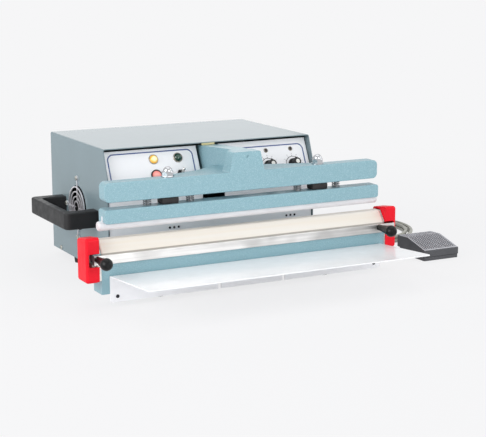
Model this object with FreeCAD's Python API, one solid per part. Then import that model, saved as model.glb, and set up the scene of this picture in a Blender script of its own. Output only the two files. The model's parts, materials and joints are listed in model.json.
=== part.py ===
"""Tabletop automatic impulse heat sealer with a foot pedal.

Model frame while building: X runs along the sealing bars with 0 at the middle of the machine, Y runs from
the front to the back with 0 at the front face of the arm bar, and Z is up with 0 on the table. At the end
every piece is moved so that the origin is the middle of the underside of the whole machine, with the pedal
included and the cord left out.
"""
import FreeCAD, Part
import math
import os

from FreeCAD import Vector

# Cabinet
cabinet_half_width = 191.5
cabinet_top = 218.0
cabinet_back = 380.0
hood_wall = 1.5
hood_bottom = 13.0
hood_top_front = 137.0
hood_side_front = 119.5
hood_side_break = 172.0
hood_bend_radius = 3.0
sheet_gap = 0.2
pan_top = 20.0
pan_thickness = 2.5
pan_front = -9.0
pan_tongue_half_width = 170.0
pan_tongue_back = 130.0
rear_panel_inset = 1.5
rear_panel_thickness = 1.5

# Front panels: a lower upright part and an upper part that leans back
panel_thickness = 1.5
panel_recess = 1.5
panel_side_gap = 1.6
panel_below_roof = 6.5
panel_lean_height = 59.0
panel_top_z = cabinet_top - panel_below_roof
panel_fold_z = panel_top_z - panel_lean_height
panel_lean = 24.8
panel_foot_depth = 14.0
slot_half_width = 21.0
slot_floor_z = 122.0

# Feet and screws
foot_radius = 11.0
foot_tip_radius = 9.0
foot_x = 176.0
foot_rear_y = 291.0
foot_front_x = 150.0
foot_front_y = 18.0
screw_head_radius = 4.0
screw_head_height = 2.4
screw_shank_radius = 2.0
screw_shank_length = 4.0
hood_screw_z = 17.6
hood_screw_y = (135.0, 340.0)

# Side handles
handle_front_y = 160.0
handle_back_y = 335.0
handle_low_z = 86.0
handle_high_z = 114.0
handle_reach = 57.0
handle_grip_thickness = 14.0
handle_leg_at_wall = 26.0
handle_leg_at_grip = 20.0
handle_corner = 10.0
handle_edge_round = 3.0

# Cooling fan in the left wall
fan_y = 253.4
fan_z = 103.7
fan_size = 80.0
fan_depth = 25.0
fan_hole_spacing = 71.5
fan_bore_radius = 38.0
fan_hub_radius = 17.0
fan_blade_tip = 37.0
fan_blades = 7
fan_shaft_radius = 1.5
fan_corner = 5.0
guard_wire = 1.8
guard_rings = 4
guard_first_ring = 11.0
guard_last_ring = 35.5
guard_eye_radius = 4.4

# Controls
row_below_top = 16.5
row_spacing = 25.0
upper_row_z = panel_top_z - row_below_top
lower_row_z = upper_row_z - row_spacing
left_column_from_end = 87.4
left_column_spacing = 44.0
right_column_from_end = 31.4
right_column_spacing = 48.0
lamp_lens_radius = 7.2
lamp_bezel_radius = 8.6
lamp_bezel_height = 1.5
lamp_height = 5.0
lamp_body_length = 22.0
led_radius = 2.9
led_bezel_radius = 4.1
led_bezel_height = 1.2
led_height = 3.2
rocker_radius = 8.8
rocker_height = 2.5
rocker_tilt = 9.0
rocker_bezel_radius = 9.5
rocker_bezel_height = 2.2
rocker_body_length = 18.0
toggle_length = 15.0
toggle_tip_radius = 2.6
toggle_root_radius = 1.8
toggle_ball_radius = 3.4
toggle_nut_radius = 5.8
toggle_bush_height = 4.5
toggle_body_length = 16.0
toggle_tilt = 12.0
knob_skirt_radius = 9.5
knob_top_radius = 6.4
knob_height = 17.0
knob_skirt_height = 3.5
knob_cap_radius = 4.9
knob_pointer_width = 2.0
knob_pointer_rise = 1.4
knob_panel_gap = 1.2
knob_spindle_radius = 3.0
pot_bush_radius = 3.9
pot_nut_height = 0.9
pot_body_height = 9.0
pot_body_size = 17.0
board_thickness = 1.6
relay_size = 14.0
relay_height = 12.0
relay_up = 16.0
capacitor_radius = 4.0
capacitor_height = 11.0
capacitor_first_x = -10.0
capacitor_spacing = 11.0
capacitor_up = 22.0
board_overhang = 20.0
board_height = 44.0
turn_clearance = 0.08

# Arm casting
bar_half_length = 244.0
bar_depth = 24.0
bar_bottom = 157.5
bar_top = 188.0
bar_end_radius = 8.0
bar_edge_round = 1.5
boss_above_roof = 1.5
boss_top = cabinet_top + boss_above_roof
boss_x = -2.0
boss_top_half_width = 24.0
boss_foot_half_width = 31.0
boss_foot_radius = 4.0
web_reach = 150.0
web_waist_x = 60.0
web_waist_back = 30.0
web_neck_back = 64.0
web_waist_round = 30.0
web_thickness = 16.0
web_below_top = 0.6
boss_hole_radius = 2.2
boss_hole_depth = 1.4
boss_hole_below_top = 7.5
neck_half_width = 15.0
neck_level_end = 45.0
neck_back_y = 150.0
neck_below_roof = 6.5
neck_back_top = cabinet_top - neck_below_roof
neck_back_bottom = 152.0
neck_recess_depth = 5.0
neck_recess_margin = 12.0
pivot_y = 330.0
pivot_z = 158.0
hub_radius = 17.0
hub_half_width = 23.7
shaft_radius = 8.0
shaft_half_length = 42.0
hub_bore_clearance = 0.03
shaft_running_clearance = 0.06
bush_wall = 3.0
bush_flange = 2.0
bush_flange_wall = 3.5
bracket_thickness = 8.0
bracket_depth = 46.0
bracket_foot = 18.0
bracket_top_wall = 14.0
hub_side_gap = 0.3
arm_close_angle = 2.0
stop_thickness = 4.0
stop_half_width = 12.0
stop_front_y = 143.0
stop_depth = 15.0
stop_gap = 0.3

# Solenoid drive
solenoid_y = 235.0
solenoid_half_width = 33.0
solenoid_half_depth = 26.0
solenoid_plate = 8.0
solenoid_height = 84.0
coil_radius = 23.0
coil_gap = 0.2
plunger_radius = 11.0
plunger_clearance = 0.3
plunger_bottom = 52.0
clevis_gap = 0.6
clevis_cheek = 5.0
lug_half_width = 5.5
pin_radius = 4.0
pin_below_neck = 16.0
pin_slot_play = 1.2
pin_slot_clearance = 0.15
lug_wall = 5.0
spring_shelf_reach = 78.0
spring_shelf_half_width = 14.0
return_spring_y = 176.0
return_spring_radius = 8.0
return_spring_wire = 2.0
return_spring_turns = 6
spring_end_gap = 0.15

# Limit switch, transformer and inlet
switch_width = 10.0
switch_length = 28.0
switch_height = 16.0
switch_lever_width = 4.0
switch_lever_thickness = 1.0
switch_touch_gap = 0.4
transformer_from_wall = 86.5
transformer_x = transformer_from_wall - cabinet_half_width
transformer_y = 303.0
core_length = 84.0
core_depth = 40.0
core_height = 70.0
core_limb = 14.0
winding_overhang = 12.0
winding_gap = 0.3
inlet_x = -110.0
inlet_z = 62.0
inlet_width = 28.0
inlet_height = 20.0
inlet_flange_width = 50.0
inlet_flange_height = 30.0
inlet_flange_thickness = 3.0
inlet_depth = 28.0
vent_count = 10
vent_pitch = 11.0
vent_width = 4.0
vent_length = 46.0
vent_middle_x = 20.0
vent_middle_z = 150.0

# Upper jaw
jaw_half_length = 245.5
jaw_front = -2.0
jaw_depth = 24.0
jaw_bottom = 125.3
jaw_top = 146.9
jaw_end_radius = 4.0
rod_radius = 7.5
rod_y = 10.0
rod_centre_below_jaw = 3.6
rod_overhang_left = 8.0
rod_end_round = 3.0
rod_clearance = 0.1
rod_key_width = 5.0
rod_key_height = 7.0
bolt_x = 134.5
bolt_radius = 5.0
bolt_hole_radius = 5.6
bolt_y = 12.0
bolt_thread_depth = 10.0
nut_across_flats = 17.0
nut_height = 8.0
nut_dome_radius = 7.4
washer_radius = 10.0
washer_thickness = 1.6
seat_gap = 0.1
buffer_length = 28.5
buffer_depth = 20.0
buffer_corner = 2.0
jaw_spring_x = (97.0, 170.0)
jaw_spring_radius = 5.4
jaw_spring_wire = 1.5
jaw_spring_turns = 3
guide_pin_radius = 2.6
guide_pin_clearance = 0.4
guide_pin_depth = 8.0
guide_pin_rise = 14.0
jaw_float_travel = 3.0

# Lower jaw
lower_half_length = 254.5
lower_middle_x = -2.0
lower_front = -11.0
lower_back = 21.0
lower_bottom = 20.0
lower_shoulder_z = 80.5
lower_shoulder_radius = 14.0
lower_ridge_front = 4.5
lower_ridge_back = 17.0
lower_ridge_z = 101.3
lower_back_z = 95.0
lower_wall = 8.0
lower_rib_count = 3
lower_rib = 9.0
lower_floor = 12.0
lower_roof = 16.0
lug_length = 12.5
lug_depth = 14.0
lug_height = 13.0
element_width = 5.0
element_thickness = 0.4
cloth_lift = 0.5
cloth_thickness = 0.6
cloth_end_margin = 0.6
cloth_front_drop = 13.0
cloth_back_drop = 12.0
clamp_past_jaw = 15.0
clamp_thickness = 4.0
clamp_height = 14.5
clamp_top_z = 82.0
clamp_gap = 0.15
clamp_edge_round = 0.8
left_knob_past_jaw = 8.0
right_knob_inside_jaw = 13.5
clamp_knob_lift = 2.0
stud_radius = 3.0
stud_clearance = 0.08
clamp_knob_length = 45.0
clamp_knob_root_radius = 5.0
clamp_knob_head_radius = 9.5
terminal_reach = 9.0
terminal_plate_reach = 1.2
terminal_lug_gap = 0.5
terminal_seat_gap = 0.3
terminal_inset = 5.0
terminal_screw_radius = 2.5
terminal_screw_head = 1.5

# Red end caps
left_cap_gap = 4.0
right_cap_gap = 1.0
cap_width = 21.0
cap_front = -14.0
cap_back = 25.0
cap_bottom = 39.5
cap_front_top = 110.0
cap_back_top = 104.5
cap_wall = 2.2
cap_corner = 5.0
cap_notch_depth = 16.5
cap_notch_margin = 3.0
cap_jaw_gap = 0.6

# Work tray
tray_inside_jaw = 11.0
tray_sheet = 1.5
tray_back_z = 48.2
tray_front_z = 58.0
tray_front_y = -158.0
tray_flange_bottom = 6.7
tray_corner = 5.0
tray_slot_x = 58.0
tray_slot_width = 5.0
tray_slot_top = 31.0
tray_hole_from_end = 11.8
tray_hole_z = 15.6
tray_hole_radius = 2.6
tray_screw_z = 27.5

# Foot pedal
pedal_left = 353.0
pedal_right = 425.0
pedal_front = 11.0
pedal_back = 94.0
pedal_base_height = 6.0
pedal_front_z = 18.0
pedal_kink_y = 64.0
pedal_kink_z = 32.0
pedal_back_z = 31.0
pedal_wall = 2.5
pedal_skirt_front_z = 6.6
pedal_skirt_back_z = 11.2
pedal_inner_gap = 0.8
pedal_rim_setback = 8.0
pedal_rim_drop = 8.0
pedal_ear_inset = 6.0
pedal_inner_wall = 2.0
pedal_corner = 3.0
pedal_pin_y = 19.0
pedal_pin_z = 10.5
pedal_pin_radius = 2.0
pedal_pin_clearance = 0.06
pedal_ear = 4.0
pedal_press_angle = 3.0
pedal_spring_y = 76.0
pedal_spring_radius = 6.0
pedal_spring_wire = 1.4
pedal_spring_turns = 5
pedal_switch_y = 50.0
pedal_spring_offset = 18.0

# Pedal cord
cord_radius = 3.0
floor_gap = 0.2
gland_relief_length = 24.0
pedal_relief_length = 16.0
relief_root_radius = 6.5
relief_tip_radius = 4.2
relief_flange_radius = 9.0
relief_flange_thickness = 3.0
relief_neck_length = 4.0
gland_x = 150.0
gland_z = 40.0
pedal_relief_z = 10.0
coil_centre_x = 367.0
coil_centre_y = 264.0
coil_outer_radius = 112.0
coil_pitch = 10.0
coil_layer_rise = 6.7
coil_entry_angle = 60.0
coil_leave_angle = -54.0
coil_loops = 3
coil_lead_in = 43.0
coil_lead_out = 12.0

# Worked-out planes and places that several pieces share
panel_front_y = hood_side_front + panel_recess
lean_sin = math.sin(math.radians(panel_lean))
lean_cos = math.cos(math.radians(panel_lean))
panel_top_y = panel_front_y + (panel_top_z - panel_fold_z) * math.tan(math.radians(panel_lean))
inner_half_width = cabinet_half_width - hood_wall
panel_half_width = inner_half_width - sheet_gap
front_panel_half_width = inner_half_width - panel_side_gap
left_column_x = left_column_from_end - front_panel_half_width
left_second_x = left_column_x + left_column_spacing
cool_knob_x = front_panel_half_width - right_column_from_end
heat_knob_x = cool_knob_x - right_column_spacing
rear_panel_outer = cabinet_back - rear_panel_inset
bar_middle_y = bar_depth / 2
rod_z = jaw_bottom - rod_centre_below_jaw
lower_left_end = lower_middle_x - lower_half_length
lower_right_end = lower_middle_x + lower_half_length
left_clamp_knob_x = lower_left_end - left_knob_past_jaw
right_clamp_knob_x = lower_right_end - right_knob_inside_jaw
clamp_half_length = lower_half_length + clamp_past_jaw
left_cap_inner_x = lower_left_end - left_cap_gap
right_cap_inner_x = lower_right_end + right_cap_gap
tray_half_length = lower_half_length - tray_inside_jaw
tray_hole_x = tray_half_length - tray_hole_from_end
cloth_left_end = lower_left_end + cloth_end_margin
cloth_right_end = lower_right_end - cloth_end_margin
cloth_outer = cloth_lift + cloth_thickness
clamp_back = lower_front - cloth_outer - clamp_gap
clamp_front = clamp_back - clamp_thickness
clamp_middle_z = clamp_top_z - clamp_height / 2
clamp_knob_z = clamp_middle_z + clamp_knob_lift
tray_flange_back = lower_front - sheet_gap
tray_flange_front = tray_flange_back - tray_sheet
neck_bottom_slope = (pivot_z - hub_radius + 2.0 - neck_back_bottom) / (pivot_y - neck_back_y)
solenoid_top = pan_top + solenoid_height
pin_z = neck_back_bottom + neck_bottom_slope * (solenoid_y - neck_back_y) - pin_below_neck
cord_lie_z = cord_radius + floor_gap
pedal_middle_x = (pedal_left + pedal_right) / 2
coil_entry = math.radians(coil_entry_angle)
coil_leave = math.radians(coil_leave_angle)

# Cord routes, chosen by hand: out of the rear panel and down to the table, and from the coil to the pedal
gland_tip_y = rear_panel_outer + relief_flange_thickness + gland_relief_length
pedal_tip_y = pedal_back + relief_flange_thickness + pedal_relief_length
cabinet_route = [
    (gland_x, gland_tip_y, gland_z),
    (gland_x, 427.0, gland_z),
    (154.5, 446.0, 35.0),
    (167.0, 462.0, 24.0),
    (188.0, 473.0, 11.5),
    (217.0, 475.0, 4.8),
    (256.0, 465.0, cord_lie_z),
    (300.0, 441.0, 3.3),
    (341.0, 408.5, cord_lie_z),
]
pedal_route = [
    (400.4, 148.4, 8.8),
    (392.5, 135.6, 9.0),
    (pedal_middle_x, 122.0, pedal_relief_z),
    (pedal_middle_x, pedal_tip_y, pedal_relief_z),
]


def box(x0, x1, y0, y1, z0, z1):
    """A block between two corners."""
    return Part.makeBox(x1 - x0, y1 - y0, z1 - z0, Vector(x0, y0, z0))


def rod(radius, start, end):
    """A round bar from one point to another."""
    start, end = Vector(*start), Vector(*end)
    return Part.makeCylinder(radius, (end - start).Length, start, end - start)


def cone(radius_start, radius_end, start, end):
    """A tapered round bar from one point to another."""
    start, end = Vector(*start), Vector(*end)
    return Part.makeCone(radius_start, radius_end, (end - start).Length, start, end - start)


def union(shapes):
    """One solid from several that overlap or touch."""
    whole = shapes[0].fuse(list(shapes[1:])) if len(shapes) > 1 else shapes[0]
    return whole.removeSplitter()


def corner_points(before, corner, after, radius):
    """The start, middle and end of the arc that rounds a corner."""
    to_before = (before - corner).normalize()
    to_after = (after - corner).normalize()
    half = to_before.getAngle(to_after) / 2
    reach = radius / math.tan(half)
    middle_way = (to_before + to_after).normalize()
    centre = corner + middle_way * (radius / math.sin(half))
    return corner + to_before * reach, centre - middle_way * radius, corner + to_after * reach


def outline(points, place):
    """A closed wire through corners given as (a, b) or, to round one, (a, b, radius)."""
    flat = [Vector(p[0], p[1], 0) for p in points]
    count = len(points)
    ends = []
    for i, point in enumerate(points):
        if len(point) == 3 and point[2] > 0:
            ends.append(corner_points(flat[i - 1], flat[i], flat[(i + 1) % count], point[2]))
        else:
            ends.append((flat[i], None, flat[i]))
    edges = []
    for i, (start, middle, end) in enumerate(ends):
        if middle is not None:
            edges.append(Part.Arc(place(start), place(middle), place(end)).toShape())
        following = ends[(i + 1) % count][0]
        if (following - end).Length > 1e-6:
            edges.append(Part.LineSegment(place(end), place(following)).toShape())
    return Part.Wire(edges)


def prism(points, axis, low, high):
    """An outline pushed along an axis. Its two coordinates are the other two axes in order."""
    places = {
        "x": lambda v: Vector(low, v.x, v.y),
        "y": lambda v: Vector(v.x, low, v.y),
        "z": lambda v: Vector(v.x, v.y, low),
    }
    way = {"x": Vector(high - low, 0, 0), "y": Vector(0, high - low, 0), "z": Vector(0, 0, high - low)}
    return Part.Face(outline(points, places[axis])).extrude(way[axis])


def rectangle(a0, a1, b0, b1, radius=0.0):
    """The corners of a rectangle with equal rounding."""
    return [(a0, b0, radius), (a1, b0, radius), (a1, b1, radius), (a0, b1, radius)]


def hexagon(across_flats, height):
    """A hexagonal prism standing on Z."""
    corner_radius = across_flats / math.sqrt(3)
    turns = [math.radians(60 * i) for i in range(6)]
    return prism([(corner_radius * math.cos(t), corner_radius * math.sin(t)) for t in turns], "z", 0, height)


def moved(shape, x=0.0, y=0.0, z=0.0):
    """A copy of a shape shifted in space."""
    copy = shape.copy()
    copy.translate(Vector(x, y, z))
    return copy


def mirrored(shape):
    """A copy of a shape on the other side of the middle plane."""
    return shape.mirror(Vector(0, 0, 0), Vector(1, 0, 0))


def round_edges(shape, radius, wanted):
    """Round the edges whose middle and direction pass a test."""
    edges = [e for e in shape.Edges if wanted(e)]
    return shape.makeFillet(radius, edges) if edges else shape


def at_height(edge, z):
    """True when a whole edge lies at one height."""
    return abs(edge.BoundBox.ZMin - z) < 1e-4 and abs(edge.BoundBox.ZMax - z) < 1e-4


def at_depth(edge, y):
    """True when a whole edge lies in one upright plane across the machine."""
    return abs(edge.BoundBox.YMin - y) < 1e-4 and abs(edge.BoundBox.YMax - y) < 1e-4


def on_panel(shape, x, z):
    """Set a piece made on local Z, with local Y up the slope, on the leaning part of a front panel."""
    y = panel_front_y + (z - panel_fold_z) * math.tan(math.radians(panel_lean))
    copy = shape.copy()
    turn = FreeCAD.Rotation(Vector(1, 0, 0), 90 - panel_lean)
    copy.Placement = FreeCAD.Placement(Vector(x, y, z), turn).multiply(copy.Placement)
    return copy


def panel_point(x, z, lift):
    """A point a given distance in front of the leaning part of a front panel."""
    y = panel_front_y + (z - panel_fold_z) * math.tan(math.radians(panel_lean))
    return Vector(x, y - lean_cos * lift, z + lean_sin * lift)


def arc_between(start, control, end):
    """The circular arc that leaves start towards control and arrives at end from it."""
    half_turn = (control - start).getAngle(end - start)
    weight = math.cos(half_turn)
    if half_turn < 1e-5:
        return Part.LineSegment(start, end).toShape()
    middle = (start + control * (2 * weight) + end) * (1 / (2 * (1 + weight)))
    return Part.Arc(start, middle, end).toShape()


def biarc(start, way, end, end_way):
    """Two arcs that join two points smoothly, each leaving along its own direction."""
    span = end - start
    both = way + end_way
    spread = 2 * (1 - way.dot(end_way))
    along = span.dot(both)
    reach = (math.sqrt(along * along + spread * span.dot(span)) - along) / spread
    middle = (start + end + (way - end_way) * reach) * 0.5
    return [
        arc_between(start, start + way * reach, middle),
        arc_between(middle, end - end_way * reach, end),
    ]


def curve_edges(point_at, stations):
    """Biarcs through a curve at the given stations, with each direction taken from the curve."""
    step = 1e-4
    points = [point_at(t) for t in stations]
    ways = [(point_at(t + step) - point_at(t - step)).normalize() for t in stations]
    edges = []
    for i in range(len(stations) - 1):
        edges += biarc(points[i], ways[i], points[i + 1], ways[i + 1])
    return edges, points[0], ways[0], points[-1], ways[-1]


def tube(edges, start, way, radius):
    """A round tube along joined edges."""
    ring = Part.Wire([Part.Circle(start, way, radius).toShape()])
    shell = Part.BRepOffsetAPI.MakePipeShell(Part.Wire(edges))
    shell.add(ring)
    shell.build()
    shell.makeSolid()
    return shell.shape()


def print_self_gap(name, points, skip, wire_radius):
    """Measure the least gap between parts of one tube that lie apart along it."""
    least = min(
        (points[i] - points[j]).Length
        for i in range(len(points))
        for j in range(i + skip, len(points))
    )
    print(f"{name}: least gap to itself {least - 2 * wire_radius:.2f} mm")


def spring(name, x, y, low, high, mean_radius, wire, turns):
    """A compression spring standing on Z, wound from one unbroken wire."""
    pitch = (high - low - wire) / turns

    def centre_line(t):
        angle = 2 * math.pi * t
        return Vector(
            x + mean_radius * math.cos(angle),
            y + mean_radius * math.sin(angle),
            low + wire / 2 + pitch * t,
        )

    stations = [i / 2 for i in range(2 * turns + 1)]
    edges, start, way, _, _ = curve_edges(centre_line, stations)
    per_turn = 24
    samples = [centre_line(i / per_turn) for i in range(per_turn * turns + 1)]
    print_self_gap(name, samples, per_turn // 2, wire / 2)
    return tube(edges, start, way, wire / 2)


def make_hood():
    """Folded sheet hood: roof and both sides, open in front, behind and below."""
    side = [
        (hood_side_front, hood_bottom),
        (cabinet_back, hood_bottom),
        (cabinet_back, cabinet_top),
        (hood_top_front, cabinet_top),
        (hood_side_front, hood_side_break),
    ]
    outer = prism(side, "x", -cabinet_half_width, cabinet_half_width)
    outer = round_edges(
        outer,
        hood_bend_radius,
        lambda e: at_height(e, cabinet_top) and e.BoundBox.XLength < 1e-6,
    )
    roof = cabinet_top - hood_wall
    inner = prism(
        [
            (-inner_half_width, 0),
            (inner_half_width, 0),
            (inner_half_width, roof, hood_bend_radius - hood_wall),
            (-inner_half_width, roof, hood_bend_radius - hood_wall),
        ],
        "y",
        0,
        cabinet_back + hood_wall,
    )
    hood = outer.cut(inner)
    cutters = [
        rod(fan_bore_radius, (-cabinet_half_width - 1, fan_y, fan_z), (-inner_half_width + 1, fan_y, fan_z))
    ]
    for y, z in fan_screw_places():
        cutters.append(
            rod(
                screw_shank_radius + sheet_gap,
                (-cabinet_half_width - 1, y, z),
                (-inner_half_width + 1, y, z),
            )
        )
    for sign in (-1, 1):
        for y in hood_screw_y:
            near = (sign * (inner_half_width - 1), y, hood_screw_z)
            far = (sign * (cabinet_half_width + 1), y, hood_screw_z)
            cutters.append(rod(screw_shank_radius + sheet_gap, near, far))
    return hood.cut(cutters)


def fan_screw_places():
    """The four fan screws, one above, below, in front of and behind the fan."""
    reach = fan_hole_spacing / math.sqrt(2)
    return [(fan_y, fan_z + reach), (fan_y + reach, fan_z), (fan_y, fan_z - reach), (fan_y - reach, fan_z)]


def make_base_pan():
    """Base sheet with turned-down sides, and a tongue in front that carries the lower jaw."""
    low = pan_top - pan_thickness
    half = inner_half_width - sheet_gap
    back = rear_panel_outer
    pieces = [
        box(-half, half, panel_front_y, back, low, pan_top),
        box(-pan_tongue_half_width, pan_tongue_half_width, pan_front, pan_tongue_back, low, pan_top),
        box(-half, -half + pan_thickness, panel_front_y, back, hood_bottom, low),
        box(half - pan_thickness, half, panel_front_y, back, hood_bottom, low),
        box(-half, half, back - pan_thickness, back, hood_bottom, low),
    ]
    pan = union(pieces)
    bores = []
    for sign in (-1, 1):
        for y in hood_screw_y:
            near = (sign * (half - screw_shank_length), y, hood_screw_z)
            bores.append(rod(screw_shank_radius + sheet_gap, near, (sign * (half + 1), y, hood_screw_z)))
    return pan.cut(bores)


def make_rear_panel():
    """Flat rear panel with vent slots, the inlet's window and the cord's hole."""
    inner = rear_panel_outer - rear_panel_thickness
    top = cabinet_top - hood_wall - sheet_gap
    panel = prism(
        [
            (-panel_half_width, pan_top),
            (panel_half_width, pan_top),
            (panel_half_width, top, hood_bend_radius),
            (-panel_half_width, top, hood_bend_radius),
        ],
        "y",
        inner,
        rear_panel_outer,
    )
    cutters = [
        box(
            inlet_x - inlet_width / 2,
            inlet_x + inlet_width / 2,
            inner - 1,
            rear_panel_outer + 1,
            inlet_z - inlet_height / 2,
            inlet_z + inlet_height / 2,
        ),
        rod(relief_root_radius, (gland_x, inner - 1, gland_z), (gland_x, rear_panel_outer + 1, gland_z)),
    ]
    for i in range(vent_count):
        x = vent_middle_x + (i - (vent_count - 1) / 2) * vent_pitch
        slot = rectangle(
            x - vent_width / 2,
            x + vent_width / 2,
            vent_middle_z - vent_length / 2,
            vent_middle_z + vent_length / 2,
            vent_width / 2 - 0.01,
        )
        cutters.append(prism(slot, "y", inner - 1, rear_panel_outer + 1))
    return panel.cut(cutters)


def make_front_panel(sign):
    """One bent front panel: an upright apron with a foot, and a leaning face with its control holes."""
    t = panel_thickness
    fold_shift = t * math.tan(math.radians(panel_lean / 2))
    top_back_y = panel_top_y + t * lean_cos
    top_back_z = panel_top_z - t * lean_sin
    section = [
        (panel_front_y, pan_top),
        (panel_front_y + panel_foot_depth, pan_top),
        (panel_front_y + panel_foot_depth, pan_top + t),
        (panel_front_y + t, pan_top + t),
        (panel_front_y + t, panel_fold_z - fold_shift),
        (top_back_y, top_back_z),
        (panel_top_y, panel_top_z),
        (panel_front_y, panel_fold_z),
    ]
    ends = sorted((sign * slot_half_width, sign * front_panel_half_width))
    panel = prism(section, "x", ends[0], ends[1])
    near = sorted((sign * sheet_gap, sign * (slot_half_width + 1)))
    apron = box(near[0], near[1], panel_front_y, panel_front_y + t, pan_top, slot_floor_z)
    panel = union([panel, apron])
    if sign < 0:
        holes = [
            (left_column_x, upper_row_z, lamp_lens_radius),
            (left_second_x, upper_row_z, lamp_lens_radius),
            (left_column_x, lower_row_z, rocker_radius),
            (left_second_x, lower_row_z, toggle_ball_radius + 0.6),
        ]
    else:
        holes = [
            (heat_knob_x, upper_row_z, led_radius),
            (cool_knob_x, upper_row_z, led_radius),
            (heat_knob_x, lower_row_z, pot_bush_radius),
            (cool_knob_x, lower_row_z, pot_bush_radius),
        ]
    cutters = []
    for x, z, radius in holes:
        cutters.append(on_panel(rod(radius + sheet_gap / 2, (0, 0, -3 * t), (0, 0, t)), x, z))
    return panel.cut(cutters)


def make_feet():
    """Four tapered rubber feet under the base pan."""
    top = pan_top - pan_thickness
    places = [
        (-foot_x, foot_rear_y),
        (foot_x, foot_rear_y),
        (-foot_front_x, foot_front_y),
        (foot_front_x, foot_front_y),
    ]
    return [cone(foot_tip_radius, foot_radius, (x, y, 0), (x, y, top)) for x, y in places]


def pan_head(point, way):
    """A pan-head screw with its head on a face and its shank going in."""
    point, way = Vector(*point), Vector(*way)
    head = Part.makeCylinder(screw_head_radius, screw_head_height, point, way * -1)
    shank = Part.makeCylinder(screw_shank_radius, screw_shank_length, point, way)
    return union([head, shank])


def make_case_screws():
    """Screws in the hood's sides, through the fan guard and in the tray's slots."""
    screws = []
    for sign in (-1, 1):
        for y in hood_screw_y:
            screws.append(pan_head((sign * cabinet_half_width, y, hood_screw_z), (-sign, 0, 0)))
    guard_face = -cabinet_half_width - guard_wire
    for y, z in fan_screw_places():
        screws.append(pan_head((guard_face, y, z), (1, 0, 0)))
    for sign in (-1, 1):
        screws.append(pan_head((sign * tray_slot_x, tray_flange_front, tray_screw_z), (0, 1, 0)))
    return screws


def make_handle(sign):
    """A moulded bow handle with broad feet on a cabinet side."""
    wall = cabinet_half_width
    outer = wall + handle_reach
    inner = outer - handle_grip_thickness
    plan = [
        (wall, handle_front_y),
        (outer, handle_front_y, handle_corner),
        (outer, handle_back_y, handle_corner),
        (wall, handle_back_y),
        (wall, handle_back_y - handle_leg_at_wall),
        (inner, handle_back_y - handle_leg_at_grip, handle_corner),
        (inner, handle_front_y + handle_leg_at_grip, handle_corner),
        (wall, handle_front_y + handle_leg_at_wall),
    ]
    handle = prism(plan, "z", handle_low_z, handle_high_z)
    handle = round_edges(
        handle,
        handle_edge_round,
        lambda e: (at_height(e, handle_low_z) or at_height(e, handle_high_z)) and e.BoundBox.XMax > wall + 1,
    )
    return handle if sign > 0 else mirrored(handle)


def make_fan_frame():
    """Square fan frame set on its corner, with three struts that carry the motor."""
    face = -inner_half_width
    inside = face + fan_depth
    half = fan_size / 2
    square = prism(rectangle(-half, half, -half, half, fan_corner), "x", face, inside)
    square.rotate(Vector(0, 0, 0), Vector(1, 0, 0), 45)
    frame = square.cut(rod(fan_bore_radius, (face - 1, 0, 0), (inside + 1, 0, 0)))
    strut_thickness = 3.0
    motor = rod(fan_hub_radius, (inside - strut_thickness, 0, 0), (inside, 0, 0))
    struts = [motor]
    for i in range(3):
        bar = box(
            inside - strut_thickness,
            inside,
            0,
            fan_bore_radius + 1,
            -strut_thickness / 2,
            strut_thickness / 2,
        )
        bar.rotate(Vector(0, 0, 0), Vector(1, 0, 0), 120 * i + 15)
        struts.append(bar)
    struts.append(rod(fan_shaft_radius, (inside - fan_depth / 2, 0, 0), (inside, 0, 0)))
    frame = union([frame] + struts)
    reach = fan_hole_spacing / math.sqrt(2)
    holes = []
    for y, z in ((0, reach), (reach, 0), (0, -reach), (-reach, 0)):
        holes.append(rod(screw_shank_radius + sheet_gap, (face - 1, y, z), (inside + 1, y, z)))
    return moved(frame.cut(holes), 0, fan_y, fan_z)


def make_fan_rotor():
    """Fan hub with curved blades round it."""
    face = -inner_half_width + 2.0
    depth = fan_depth - 6.0
    hub = rod(fan_hub_radius - 0.5, (face, 0, 0), (face + depth, 0, 0))
    blade_thickness = 1.8
    blade_arc = 30.0
    sector = math.radians(360.0 / fan_blades)
    pieces = [hub]
    for i in range(fan_blades):
        ring = rod(fan_blade_tip, (face, 0, 0), (face + blade_thickness, 0, 0))
        ring = ring.cut(rod(fan_hub_radius - 2, (face - 1, 0, 0), (face + depth, 0, 0)))
        reach = 2 * fan_blade_tip
        wedge = prism(
            [(0, 0), (reach, -reach * math.tan(sector * 0.36)), (reach, reach * math.tan(sector * 0.36))],
            "x",
            face - 1,
            face + depth,
        )
        blade = ring.common(wedge)
        blade.rotate(Vector(face, 0, 0), Vector(0, 1, 0), blade_arc)
        blade.translate(Vector(depth / 2, 0, 0))
        blade = blade.common(rod(fan_blade_tip, (face, 0, 0), (face + depth, 0, 0)))
        blade.rotate(Vector(0, 0, 0), Vector(1, 0, 0), 360.0 / fan_blades * i)
        pieces.append(blade)
    bore = rod(fan_shaft_radius + turn_clearance, (face + depth / 2, 0, 0), (face + depth + 1, 0, 0))
    return moved(union(pieces).cut(bore), 0, fan_y, fan_z)


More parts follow.
